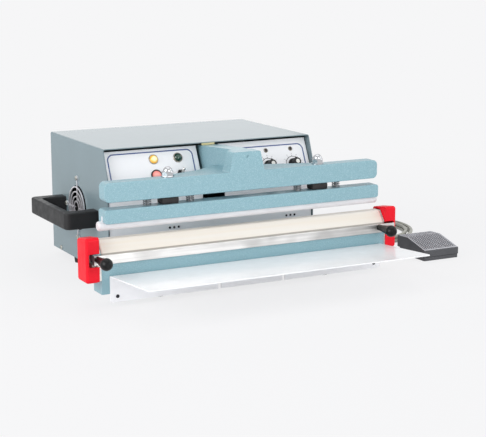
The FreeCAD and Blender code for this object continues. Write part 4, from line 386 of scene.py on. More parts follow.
def lit_lens(name, rim, core, centre, radius, glow):
    """Tinted acrylic lamp lens: brightest over the lamp and deeper in colour towards its rim."""
    material, tree, surface, place = start_material(name)
    reach = add(tree, "ShaderNodeVectorMath", {0: place, 1: tuple(centre)}, operation="DISTANCE")
    share = add(tree, "ShaderNodeMapRange", {"Value": reach.outputs["Value"], "From Max": radius})
    ramp = add(tree, "ShaderNodeValToRGB", {"Fac": share}, to=surface["Base Color"])
    first, last = ramp.color_ramp.elements
    first.position, first.color = 0.35, core
    last.position, last.color = 0.95, rim
    facet = 1.4 * MM
    facets = add(
        tree, "ShaderNodeTexVoronoi", {"Vector": place, "Scale": 1 / facet, "Randomness": 0.1}
    )
    add(
        tree,
        "ShaderNodeBump",
        {"Height": facets, "Strength": 0.3, "Distance": 0.3 * MM},
        to=surface["Normal"],
    )
    if glow:
        tree.links.new(ramp.outputs["Color"], surface["Emission Color"])
        set_surface(surface, Emission_Strength=glow)
    set_surface(surface, Roughness=0.12, Coat_Weight=0.6, Coat_Roughness=0.05)
    return material


def glass_cloth(name, base):
    """Woven glass cloth with a baked release coating: a tight plain weave with faint heat marks."""
    material, tree, surface, place = start_material(name)
    cycle = 2 * math.pi / sizes().weave_pitch
    # Heat marks are long bands: cells to the metre along and across the cloth.
    mark_cells = (1.6, 75.0, 1.0)
    # A painted shadow line darkens the cloth where it comes out from under the clamp bar's edge.
    shadow_line_at, shadow_line_core, shadow_line_edge = 13.6 * MM, 0.4 * MM, 1.6 * MM
    cloth = add(tree, "ShaderNodeTexCoord").outputs["UV"]
    split = add(tree, "ShaderNodeSeparateXYZ", {"Vector": cloth})
    waves = []
    for axis in ("X", "Y"):
        turns = add(tree, "ShaderNodeMath", {0: split.outputs[axis], 1: cycle}, operation="MULTIPLY")
        waves.append(add(tree, "ShaderNodeMath", {0: turns}, operation="SINE"))
    weave = add(tree, "ShaderNodeMath", {0: waves[0], 1: waves[1]}, operation="MULTIPLY")
    bands = add(tree, "ShaderNodeMapping", {"Vector": cloth, "Scale": mark_cells})
    marks = add(tree, "ShaderNodeTexNoise", {"Vector": bands, "Scale": 1.0, "Detail": 3.0})
    ramp = add(tree, "ShaderNodeValToRGB", {"Fac": marks})
    scorch = (0.98, 0.93, 0.86)
    first, last = ramp.color_ramp.elements
    first.position, first.color = 0.3, tuple(c * s for c, s in zip(base[:3], scorch)) + (1,)
    last.position, last.color = 0.62, base
    past = add(tree, "ShaderNodeMath", {0: split.outputs["Y"], 1: shadow_line_at}, operation="SUBTRACT")
    off = add(tree, "ShaderNodeMath", {0: past}, operation="ABSOLUTE")
    painted_shadow = add(
        tree,
        "ShaderNodeMapRange",
        {"Value": off, "From Min": shadow_line_core, "From Max": shadow_line_edge, "To Min": 0.45},
        interpolation_type="SMOOTHSTEP",
    )
    add(
        tree,
        "ShaderNodeVectorMath",
        {0: ramp, "Scale": painted_shadow},
        to=surface["Base Color"],
        operation="SCALE",
    )
    roughen(tree, surface, place, 0.42, 0.55, size=10 * MM)
    add(
        tree,
        "ShaderNodeBump",
        {"Height": weave, "Strength": 0.35, "Distance": 0.05 * MM},
        to=surface["Normal"],
    )
    set_surface(surface, Sheen_Weight=0.15, Sheen_Roughness=0.4)
    return material


def layered(name, base, other, pitch, axis, metallic, rough):
    """Stacked sheets or wound turns: fine lines across one axis, such as laminations or taped wire."""
    material, tree, surface, place = start_material(name)
    split = add(tree, "ShaderNodeSeparateXYZ", {"Vector": place})
    cycle = 2 * math.pi / pitch
    turns = add(tree, "ShaderNodeMath", {0: split.outputs[axis], 1: cycle}, operation="MULTIPLY")
    wave = add(tree, "ShaderNodeMath", {0: turns}, operation="SINE")
    ramp = add(tree, "ShaderNodeValToRGB", {"Fac": wave}, to=surface["Base Color"])
    first, last = ramp.color_ramp.elements
    first.color, last.color = other, base
    roughen(tree, surface, place, rough * 0.85, rough * 1.15, size=10 * MM)
    add(
        tree,
        "ShaderNodeBump",
        {"Height": wave, "Strength": 0.5, "Distance": 0.1 * MM},
        to=surface["Normal"],
    )
    set_surface(surface, Metallic=metallic)
    return material


finishes = {}


def make_finishes():
    """Every finish of the sealer, under the record's slot names or a name of its own."""
    c = colours()
    lens_lift, lens_radius = 6.0, 7.2 * MM
    finishes.update(
        # Powder coat: even satin grey under a thin clear skin that glints softly on the baked ripple.
        hood_paint=powder_coat("grey_powder_coat", c.hood),
        # Hammered enamel: mottled blue-green with pale flakes, wet and glossy between its dimples.
        casting_paint=hammered_enamel("teal_hammered_enamel", c.casting, c.fleck),
        # Satin enamel: flat white with a broad soft sheen.
        panel_paint=enamel(
            "white_satin_enamel", c.panel, rough=0.37, cell=1.2 * MM, depth=0.04 * MM, coat=0.2
        ),
        # Stove enamel: smooth white with a low gloss that mirrors the jaw faintly.
        tray_enamel=enamel(
            "white_stove_enamel", c.tray, rough=0.2, cell=6 * MM, depth=0.06 * MM, coat=0.0, shine=0.15
        ),
        # Zinc plate: dull grey white, with no direction to its grain.
        zinc=drawn_metal("zinc_plated_steel", linear("#B9BAB4"), rough=0.38, grain=1.5 * MM),
        # Passivated zinc: pale straw yellow over fine drawn lines.
        yellow_zinc=drawn_metal(
            "yellow_passivated_zinc", c.stop_bar, rough=0.42, grain=0.8 * MM, along=0
        ),
        # Bright nickel: warm and nearly a mirror, with tight highlights.
        nickel=drawn_metal(
            "bright_nickel", linear("#D8D7D3"), rough=0.16, grain=0.8 * MM, depth=0.01 * MM
        ),
        # Satin nickel: the same warm grey with its highlight spread out.
        satin_nickel=drawn_metal(
            "satin_nickel", linear("#B5AFA3"), rough=0.3, grain=0.6 * MM, depth=0.01 * MM
        ),
        # Chrome: a cold mirror that goes from dark to white in one step.
        chrome=drawn_metal(
            "polished_chrome", linear("#BFC1C4"), rough=0.08, grain=3 * MM, depth=0.01 * MM
        ),
        # Dull nickel on wire: pale rods with a broad highlight and no mirror image.
        guard_wire=drawn_metal("dull_nickel_wire", linear("#F0EEF2"), rough=0.5, grain=0.6 * MM),
        # Brushed aluminium: long bright and dark streaks, with darker patches along the bar as painted
        # reflection of its wavy strip.
        brushed_bar=drawn_metal(
            "brushed_aluminium_bar",
            linear("#E2E0DE"),
            rough=0.36,
            grain=3.2 * MM,
            along=0,
            depth=0.04 * MM,
            run=45,
            dark=0.78,
            patch=45 * MM,
        ),
        # Ground steel: mid grey with short fine lines and a soft glint.
        steel=drawn_metal("ground_steel", linear("#A6A8AA"), rough=0.3, grain=0.5 * MM, along=0),
        # Black oxide: nearly black metal with a dull oily glint.
        black_oxide=drawn_metal("black_oxide_steel", linear("#35353A"), rough=0.42, grain=0.8 * MM),
        # Drawn spring wire: a bright line along each turn, dark on both sides of it.
        spring_steel=drawn_metal("drawn_spring_wire", linear("#96989B"), rough=0.28, grain=0.4 * MM),
        # Anodised aluminium: pale, even and silky along its length.
        aluminium=drawn_metal(
            "anodised_aluminium", linear("#E2E4E6"), rough=0.26, grain=0.4 * MM, along=0
        ),
        # Insulating moulding: warm white and a little chalky.
        insulator=moulded(
            "white_insulating_moulding", linear("#F2F1EC"), rough=0.42, grain=0.9 * MM, depth=0.03 * MM
        ),
        # Turned brass: yellow with a soft metal shine.
        brass=drawn_metal("turned_brass", linear("#C9A75A"), rough=0.28, grain=0.5 * MM),
        # Enamelled copper wire: red-brown turns side by side, each with a painted highlight band and
        # darker between the turns.
        copper=layered(
            "enamelled_copper_wire",
            linear("#B4653A"),
            linear("#7A3B1E"),
            pitch=sizes().magnet_wire,
            axis="Z",
            metallic=0.9,
            rough=0.35,
        ),
        # Varnished laminations: dark sheets on edge, drawn twice as thick as real ones to show.
        laminations=layered(
            "varnished_laminations",
            linear("#4A4B4F"),
            linear("#2B2B2E"),
            pitch=1 * MM,
            axis="Y",
            metallic=0.4,
            rough=0.5,
        ),
        # Grained nylon: black, with a fine pitted grain that breaks up the highlight.
        black_plastic=moulded(
            "black_grained_nylon", c.handle, rough=0.5, grain=1.1 * MM, depth=0.12 * MM, shine=0.36
        ),
        # Matt fan moulding: black plastic, made darker than the other mouldings as painted shade for
        # the inside of the wall, so it gives almost no light back.
        fan_black=moulded(
            "matt_black_fan_moulding",
            linear("#0B0B0D"),
            rough=0.65,
            grain=1.2 * MM,
            depth=0.04 * MM,
            shine=0.12,
        ),
        # Rubber: soft brownish black with a wide, weak sheen.
        black_rubber=moulded("black_rubber", c.rubber, rough=0.72, grain=1.6 * MM, depth=0.1 * MM),
        # Phenolic moulding: deep black with one small clear highlight.
        gloss_black=moulded(
            "black_phenolic_moulding",
            linear("#08080A"),
            rough=0.34,
            grain=2 * MM,
            depth=0.01 * MM,
            gloss=0.05,
            shine=0.22,
        ),
        # Moulded cap: strong smooth red with a weak sheen.
        red_plastic=moulded(
            "red_moulding", c.cap, rough=0.45, grain=1.6 * MM, depth=0.02 * MM, shine=0.18
        ),
        # Lit rocker: red acrylic, paler over the lamp in its middle.
        lit_rocker=lit_lens(
            "lit_red_rocker",
            linear("#D9635C"),
            linear("#F2A59D"),
            on_panel(LAMPS_X[0], LOWER_ROW, 4),
            radius=9.5 * MM,
            glow=0.3,
        ),
        # Unlit diode: dark red acrylic that looks nearly black.
        led_red=lit_lens(
            "unlit_red_led",
            linear("#1E0A0A"),
            linear("#2C0E0E"),
            on_panel(sum(DIALS_X) / 2, UPPER_ROW, 3),
            radius=30 * MM,
            glow=0,
        ),
        # Lit lens: amber acrylic, cream over the lamp and deep orange at its rim.
        amber_lens=lit_lens(
            "lit_amber_lens",
            c.amber,
            c.amber_core,
            on_panel(LAMPS_X[0], UPPER_ROW, lens_lift),
            lens_radius,
            glow=0.5,
        ),
        # Unlit lens: dark green acrylic with a clear highlight.
        green_lens=lit_lens(
            "unlit_green_lens",
            c.green,
            linear("#1D4838"),
            on_panel(LAMPS_X[1], UPPER_ROW, lens_lift),
            lens_radius,
            glow=0,
        ),
        # Solder mask: half-glossy green.
        board=moulded(
            "green_solder_mask", linear("#1F5A37"), rough=0.4, grain=2 * MM, depth=0.05 * MM
        ),
        # Coated glass cloth: cream, finely woven, with faint brown bands and a painted shadow line
        # along the clamp bar.
        release_cloth=glass_cloth("coated_glass_cloth", c.cloth),
        # Resistance ribbon: grey-brown metal dulled by heat.
        nichrome=drawn_metal(
            "resistance_ribbon", linear("#8E8780"), rough=0.35, grain=0.4 * MM, along=0
        ),
        # Silicone rubber: smooth white with a soft highlight.
        silicone=moulded(
            "white_silicone_rubber", c.silicone, rough=0.5, grain=1.2 * MM, depth=0.03 * MM
        ),
        # Tread rubber: pale grey on the rim and the tops of the bumps, painted lighter there as a
        # highlight.
        pedal_top=moulded("grey_tread_rubber", c.pedal, rough=0.6, grain=1.3 * MM, depth=0.06 * MM),
        # Pad rubber: the same rubber painted darker between the bumps as shade.
        pedal_pad=moulded(
            "painted_shade_pad_rubber", c.pedal_pad, rough=0.65, grain=1.3 * MM, depth=0.06 * MM
        ),
        # Pedal moulding: dark grey with a fine grain.
        pedal_base=moulded(
            "dark_pedal_moulding", c.pedal_side, rough=0.55, grain=1.3 * MM, depth=0.08 * MM
        ),
        # Cord jacket: warm grey and smooth, with a soft line of light along it.
        cord=moulded("grey_cord_jacket", c.cord, rough=0.46, grain=1.2 * MM, depth=0.03 * MM),
        # Printed line: flat blue, level with the enamel's sheen.
        border_ink=moulded("blue_border_ink", c.border, rough=0.45, grain=0.6 * MM, depth=0.01 * MM),
        # Dial printing: flat black, level with the enamel's sheen.
        dial_ink=moulded("black_dial_ink", c.print, rough=0.45, grain=0.6 * MM, depth=0.01 * MM),
    )


def show(name, data):
    """Put an object with this data into the scene."""
    thing = bpy.data.objects.new(name, data)
    bpy.context.scene.collection.objects.link(thing)
    return thing


def settle(thing):
    """The plain mesh that an object makes with its modifiers, in place of that object."""
    bpy.context.view_layer.update()
    graph = bpy.context.evaluated_depsgraph_get()
    mesh = bpy.data.meshes.new_from_object(thing.evaluated_get(graph))
    bpy.data.objects.remove(thing)
    return mesh


def keep(name, mesh, body, replaced=()):
    """Show a finished mesh at the origin, on the body that carries it."""
    piece = show(name, mesh)
    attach(piece, body)
    if replaced:
        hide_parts(*replaced)
    return piece


def face_outwards(mesh):
    """Turn a closed mesh's faces outwards."""
    shape = bmesh.new()
    shape.from_mesh(mesh)
    if shape.calc_volume(signed=True) < 0:
        bmesh.ops.reverse_faces(shape, faces=shape.faces)
    shape.to_mesh(mesh)
    shape.free()
    return mesh


def take(name, shape, finish=None):
    """A plain mesh of an edited shape, with its faces outwards and perhaps a finish."""
    mesh = bpy.data.meshes.new(name)
    shape.to_mesh(mesh)
    shape.free()
    if finish:
        mesh.materials.append(finishes[finish])
    return face_outwards(mesh)


def new_tree(name, **sockets):
    """An empty geometry tree with points and a material in, a mesh out and other named inputs."""
    tree = bpy.data.node_groups.new(name, "GeometryNodeTree")
    for label, kind in ({"Geometry": "Geometry"} | sockets | {"Material": "Material"}).items():
        tree.interface.new_socket(label, in_out="INPUT", socket_type=f"NodeSocket{kind}")
    tree.interface.new_socket("Geometry", in_out="OUTPUT", socket_type="NodeSocketGeometry")
    return tree, add(tree, "NodeGroupInput").outputs


def end_tree(tree, given, instance, smooth=True, **more):
    """Set the instance on each point, make it real, give it its shading and material, and close."""
    where = {"Points": given["Geometry"], "Instance": instance}
    placed = add(tree, "GeometryNodeInstanceOnPoints", where | more)
    real = add(tree, "GeometryNodeRealizeInstances", {"Geometry": placed})
    shaded = add(tree, "GeometryNodeSetShadeSmooth", {"Geometry": real, "Shade Smooth": smooth})
    dress = add(tree, "GeometryNodeSetMaterial", {"Geometry": shaded, "Material": given["Material"]})
    add(tree, "NodeGroupOutput", {0: dress})
    return tree


def grow(name, tree, points, values, turns=None, scales=None):
    """Run a geometry tree on a set of points and return the result as a plain mesh."""
    seed = bpy.data.meshes.new(name)
    seed.from_pydata([tuple(p) for p in points], [], [])
    if turns is not None:
        turn = seed.attributes.new("turn", "FLOAT_VECTOR", "POINT")
        turn.data.foreach_set("vector", [x for t in turns for x in t])
    if scales is not None:
        seed.attributes.new("size", "FLOAT", "POINT").data.foreach_set("value", scales)
    base = show(name, seed)
    modifier = base.modifiers.new(name, "NODES")
    modifier.node_group = tree
    for item in tree.interface.items_tree:
        if item.in_out == "INPUT" and item.name in values:
            modifier[item.identifier] = values[item.name]
    mesh = settle(base)
    mesh.name = name
    if not mesh.polygons:
        raise RuntimeError(f"{name}: the geometry tree gave no faces")
    return face_outwards(mesh)


def spring_tree():
    """A compression spring with closed end turns on each point."""
    tree, given = new_tree(
        "wound_spring", Radius="Float", Wire="Float", Height="Float", Turns="Float"
    )
    spiral = add(
        tree,
        "GeometryNodeCurveSpiral",
        {
            "Rotations": given["Turns"],
            "Start Radius": given["Radius"],
            "End Radius": given["Radius"],
            "Resolution": 32,
            "Height": 0.0,
        },
    )
    along = add(tree, "GeometryNodeSplineParameter")
    share = add(tree, "ShaderNodeMapRange", {"Value": along, "From Min": 0.1, "From Max": 0.9})
    room = add(tree, "ShaderNodeMath", {0: given["Height"], 1: given["Wire"]}, operation="SUBTRACT")
    rise = add(tree, "ShaderNodeMath", {0: share, 1: room}, operation="MULTIPLY")
    half = add(tree, "ShaderNodeMath", {0: given["Wire"], 1: 0.5}, operation="MULTIPLY")
    level = add(tree, "ShaderNodeMath", {0: rise, 1: half})
    lift = add(tree, "ShaderNodeCombineXYZ", {"Z": level})
    raised = add(tree, "GeometryNodeSetPosition", {"Geometry": spiral, "Offset": lift})
    section = add(tree, "GeometryNodeCurvePrimitiveCircle", {"Radius": half, "Resolution": 10})
    wire = add(
        tree,
        "GeometryNodeCurveToMesh",
        {"Curve": raised, "Profile Curve": section, "Fill Caps": True},
    )
    return end_tree(tree, given, wire)


def winding_tree():
    """Turns of wire stacked on each point, round or squared with rounded corners."""
    tree, given = new_tree(
        "wire_winding", Width="Float", Depth="Float", Corner="Float", Wire="Float", Turns="Int"
    )
    turn = add(
        tree,
        "GeometryNodeCurvePrimitiveQuadrilateral",
        {"Width": given["Width"], "Height": given["Depth"]},
    )
    bent = add(
        tree,
        "GeometryNodeFilletCurve",
        {"Curve": turn, "Radius": given["Corner"], "Count": 8},
        mode="POLY",
    )
    half = add(tree, "ShaderNodeMath", {0: given["Wire"], 1: 0.49}, operation="MULTIPLY")
    section = add(tree, "GeometryNodeCurvePrimitiveCircle", {"Radius": half, "Resolution": 6})
    wire = add(tree, "GeometryNodeCurveToMesh", {"Curve": bent, "Profile Curve": section})
    step = add(tree, "ShaderNodeCombineXYZ", {"Z": given["Wire"]})
    line = add(tree, "GeometryNodeMeshLine", {"Count": given["Turns"], "Offset": step})
    stack = add(tree, "GeometryNodeInstanceOnPoints", {"Points": line, "Instance": wire})
    return end_tree(tree, given, stack)


def border_tree():
    """A printed line with rounded corners, lying flat round each point and turned onto the panel."""
    floats = dict.fromkeys(("Width", "Height", "Corner", "Line", "Ink"), "Float")
    tree, given = new_tree("border_line", **floats, Turn="Vector")
    frame_line = add(
        tree,
        "GeometryNodeCurvePrimitiveQuadrilateral",
        {"Width": given["Width"], "Height": given["Height"]},
    )
    rounded = add(
        tree,
        "GeometryNodeFilletCurve",
        {"Curve": frame_line, "Radius": given["Corner"], "Count": 12},
        mode="POLY",
    )
    section = add(
        tree,
        "GeometryNodeCurvePrimitiveQuadrilateral",
        {"Width": given["Line"], "Height": given["Ink"]},
    )
    ribbon = add(tree, "GeometryNodeCurveToMesh", {"Curve": rounded, "Profile Curve": section})
    return end_tree(tree, given, ribbon, smooth=False, Rotation=given["Turn"])


def dial_tree():
    """A fan of dial ticks round each point, turned onto the panel."""
    floats = dict.fromkeys(("Circle", "Length", "Width", "Ink", "Sweep", "Ring", "Line"), "Float")
    tree, given = new_tree("dial_ticks", **floats, Count="Int", Turn="Vector")
    dots = add(tree, "GeometryNodePoints", {"Count": given["Count"]})
    last = add(tree, "ShaderNodeMath", {0: given["Count"], 1: 1.0}, operation="SUBTRACT")
    index = add(tree, "GeometryNodeInputIndex")
    share = add(tree, "ShaderNodeMath", {0: index, 1: last}, operation="DIVIDE")
    centred = add(tree, "ShaderNodeMath", {0: share, 1: 0.5}, operation="SUBTRACT")
    angle = add(tree, "ShaderNodeMath", {0: centred, 1: given["Sweep"]}, operation="MULTIPLY")
    turn = add(tree, "ShaderNodeCombineXYZ", {"Z": angle})
    block = add(
        tree, "ShaderNodeCombineXYZ", {"X": given["Width"], "Y": given["Length"], "Z": given["Ink"]}
    )
    mark = add(tree, "GeometryNodeMeshCube", {"Size": block})
    half = add(
        tree,
        "ShaderNodeMath",
        {0: given["Length"], 1: 0.5, 2: given["Circle"]},
        operation="MULTIPLY_ADD",
    )
    out = add(tree, "ShaderNodeCombineXYZ", {"Y": half})
    moved = add(tree, "GeometryNodeTransform", {"Geometry": mark, "Translation": out})
    fan = add(
        tree, "GeometryNodeInstanceOnPoints", {"Points": dots, "Instance": moved, "Rotation": turn}
    )
    start = add(
        tree, "ShaderNodeMath", {0: given["Sweep"], 1: -0.5, 2: math.pi / 2}, operation="MULTIPLY_ADD"
    )
    arc = add(
        tree,
        "GeometryNodeCurveArc",
        {
            "Radius": given["Ring"],
            "Start Angle": start,
            "Sweep Angle": given["Sweep"],
            "Resolution": 64,
        },
    )
    section = add(
        tree,
        "GeometryNodeCurvePrimitiveQuadrilateral",
        {"Width": given["Line"], "Height": given["Ink"]},
    )
    ring = add(
        tree, "GeometryNodeCurveToMesh", {"Curve": arc, "Profile Curve": section, "Fill Caps": True}
    )
    dial = add(tree, "GeometryNodeJoinGeometry", {0: fan})
    tree.links.new(ring.outputs[0], dial.inputs[0])
    return end_tree(tree, given, dial, smooth=False, Rotation=given["Turn"])


def bump_tree():
    """A low round bump on each point."""
    tree, given = new_tree("tread_bump_rows", Bump="Float", Rise="Float")
    half = add(tree, "ShaderNodeMath", {0: given["Bump"], 1: 0.5}, operation="MULTIPLY")
    ball = add(tree, "GeometryNodeMeshUVSphere", {"Radius": half, "Segments": 8, "Rings": 4})
    size = add(tree, "ShaderNodeCombineXYZ", {"X": 1.0, "Y": 1.0, "Z": given["Rise"]})
    return end_tree(tree, given, ball, Scale=size)


def screw_tree(head):
    """A copy of the screw on each point, turned and sized by the point's own attributes."""
    tree, given = new_tree("case_screw_set")
    shape = add(tree, "GeometryNodeObjectInfo", {"Object": head})
    turn = add(tree, "GeometryNodeInputNamedAttribute", {"Name": "turn"}, data_type="FLOAT_VECTOR")
    size = add(tree, "GeometryNodeInputNamedAttribute", {"Name": "size"}, data_type="FLOAT")
    return end_tree(tree, given, shape.outputs["Geometry"], smooth=False, Rotation=turn, Scale=size)


class SEALER_OT_stage(bpy.types.Operator):
    """Set the floor, the soft studio lights and the camera of the photograph"""

    bl_idname = "sealer.stage"
    bl_label = "Stage"

    def looked_at(self, tree):
        """1 for rays that show the backdrop or its mirror image, 0 for the light that it gives."""
        path = add(tree, "ShaderNodeLightPath").outputs
        seen = path["Is Camera Ray"]
        for other in ("Is Glossy Ray", "Is Transmission Ray"):
            seen = add(tree, "ShaderNodeMath", {0: seen, 1: path[other]}, operation="MAXIMUM")
        return seen

    def execute(self, context):
        scene = context.scene
        scene.view_settings.view_transform = "Standard"
        pale = colours().floor
        world = bpy.data.worlds.new("studio")
        scene.world = world
        world.use_nodes = True
        tree = world.node_tree
        tree.nodes.clear()
        fill_light = 0.58
        seen = self.looked_at(tree)
        strength = add(tree, "ShaderNodeMapRange", {"Value": seen, "To Min": fill_light})
        sky = add(tree, "ShaderNodeBackground", {"Strength": strength, "Color": pale})
        add(tree, "ShaderNodeOutputWorld", {"Surface": sky})

        ground = bpy.data.materials.new("pale_floor")
        ground.use_nodes = True
        tree = ground.node_tree
        tree.nodes.clear()
        matt = add(tree, "ShaderNodeBsdfDiffuse", {"Color": linear("#F0F0F2")})
        even = add(tree, "ShaderNodeEmission", {"Color": pale, "Strength": 1.0})
        # Near the sealer the floor keeps some shadow. Further out it has the backdrop's even tone.
        near, far, even_share = 0.3, 1.4, 0.84
        place = add(tree, "ShaderNodeTexCoord").outputs["Object"]
        away = add(tree, "ShaderNodeVectorMath", {0: place}, operation="LENGTH").outputs["Value"]
        plain = add(
            tree,
            "ShaderNodeMapRange",
            {"Value": away, "From Min": near, "From Max": far, "To Min": even_share},
            interpolation_type="SMOOTHSTEP",
        )
        share = add(tree, "ShaderNodeMath", {0: self.looked_at(tree), 1: plain}, operation="MULTIPLY")
        mix = add(tree, "ShaderNodeMixShader", {0: share, 1: matt, 2: even})
        add(tree, "ShaderNodeOutputMaterial", {"Surface": mix})
        mesh = bpy.data.meshes.new("floor")
        half, drop = 40.0, -0.4 * MM
        corners = [(x * half, y * half, drop) for x, y in ((-1, -1), (1, -1), (1, 1), (-1, 1))]
        mesh.from_pydata(corners, [], [(0, 1, 2, 3)])
        mesh.materials.append(ground)
        floor = show("floor", mesh)

        # Each soft box has its place, aim and width in metres and its power in watts.
        for name, place, aim, size, power in (
            ("left_softbox", (-2.6, -0.6, 1.0), (0, 0, 0.12), 1.8, 47),
            ("front_softbox", (0.3, -2.8, 0.45), (0, 0, 0.08), 1.6, 35),
            ("right_softbox", (2.4, -1.0, 1.3), (0, 0, 0.1), 1.8, 11),
            ("back_softbox", (0.7, 2.7, 1.0), (0, 0, 0.2), 1.8, 5.7),
            ("top_softbox", (0.1, 0.1, 2.8), (0, 0.05, 0.1), 2.6, 17),
        ):
            data = bpy.data.lights.new(name, "AREA")
            data.energy, data.shape, data.size = power, "SQUARE", size
            lamp = show(name, data)
            lamp.location = place
            lamp.rotation_euler = (Vector(aim) - Vector(place)).to_track_quat("-Z", "Y").to_euler()

        # The camera was fitted to the corners of the hood, arm, jaw, tray and pedal in the photograph.
        data = bpy.data.cameras.new("photo_camera")
        data.sensor_fit, data.sensor_width, data.lens = "HORIZONTAL", 36.0, 98.054
        camera = show("photo_camera", data)
        camera.location = at(-973.951, -1823.218, 528.898)
        camera.rotation_euler = [math.radians(a) for a in (78.588, 0.0495, -27.886)]
        scene.camera = camera
        return {"FINISHED"}


class SEALER_OT_finishes(bpy.types.Operator):
    """Give every CAD node its own finish"""

    bl_idname = "sealer.finishes"
    bl_label = "Finishes"

    def execute(self, context):
        make_finishes()
        own = {
            "stop_bar": "yellow_zinc",
            "lamp_bezels": "satin_nickel",
            "cap_nuts": "chrome",
            "fan_frame": "fan_black",
            "fan_rotor": "fan_black",
            "fan_guard": "guard_wire",
            "clamp_bar": "brushed_bar",
            "left_clamp_knob": "gloss_black",
            "right_clamp_knob": "gloss_black",
            "power_rocker": "lit_rocker",
            "pedal_treadle": "pedal_base",
        }
        for name, node in frame["nodes"].items():
            finish = finishes[own.get(name, slot_of[name])]
            node.data.materials.clear()
            node.data.materials.append(finish)
        return {"FINISHED"}


class SEALER_OT_pedal_cord(bpy.types.Operator):
    """Lay the pedal cord: out of the gland, round its coil and into the pedal"""

    bl_idname = "sealer.pedal_cord"
    bl_label = "Pedal cord"

    # The coil winds inwards on the floor, climbs by one diameter and winds out again on top of itself.
    entry, leave, loops = math.radians(60), math.radians(-54), 3
    coil_x, coil_y, outer_radius = 367, 264, 112
    step_in, lie, second_layer = 10, 3.2, 6.7

    def coil(self, turned):
        """A point of the coil after turning by an angle from its entry."""
        full = 2 * math.pi
        half = (self.entry - self.leave + full * self.loops) / 2
        climb = math.pi / 2
        inwards = (half - abs(turned - half)) / full
        soft = climb / full
        deepest = half / full
        if inwards > deepest - soft:
            inwards = deepest - soft / 2 - (deepest - inwards) ** 2 / (2 * soft)
        radius = self.outer_radius - self.step_in * inwards
        share = min(max((turned - half + climb) / (2 * climb), 0), 1)
        rise = self.second_layer * (3 * share**2 - 2 * share**3)
        angle = self.entry - turned
        x, y = self.coil_x + radius * math.cos(angle), self.coil_y + radius * math.sin(angle)
        return Vector((x, y, self.lie + rise))

    def execute(self, context):
        whole = self.entry - self.leave + 2 * math.pi * self.loops
        points_a_turn = 24
        steps = int(points_a_turn * whole / (2 * math.pi))
        turns = [self.coil(whole * i / steps) for i in range(steps + 1)]
        way_in = (turns[1] - turns[0]).normalized()
        way_out = (turns[-1] - turns[-2]).normalized()
        from_gland = (
            (150, 399, 40),
            (150, 427, 40),
            (154.5, 446, 35),
            (167, 462, 24),
            (188, 473, 11.5),
            (217, 475, 4.8),
            (256, 465, 3.2),
            (300, 441, 3.3),
            (341, 408.5, 3.2),
        )
        to_pedal = ((400.4, 148.4, 8.8), (392.5, 135.6, 9), (389, 122, 10), (389, 107, 10))
        lead_in, lead_out = 49, 18
        route = [Vector(p) for p in from_gland]
        route.append(turns[0] - way_in * lead_in)
        route += turns
        route.append(turns[-1] + way_out * lead_out)
        route += [Vector(p) for p in to_pedal]
        data = bpy.data.curves.new("pedal_cord", "CURVE")
        data.dimensions = "3D"
        line = data.splines.new("NURBS")
        line.points.add(len(route) - 1)
        for point, place in zip(line.points, route):
            point.co = (*at(*place), 1)
        line.order_u = 3
        line.use_endpoint_u = True
        line.resolution_u = 6
        data.bevel_depth = sizes().cord_diameter / 2
        data.bevel_resolution = 3
        data.use_fill_caps = True
        data.materials.append(finishes["cord"])
        cord = show("pedal_cord", data)
        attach(cord, "cabinet")
        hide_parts("cord_from_cabinet", "cord_coil", "cord_to_pedal")
        return {"FINISHED"}


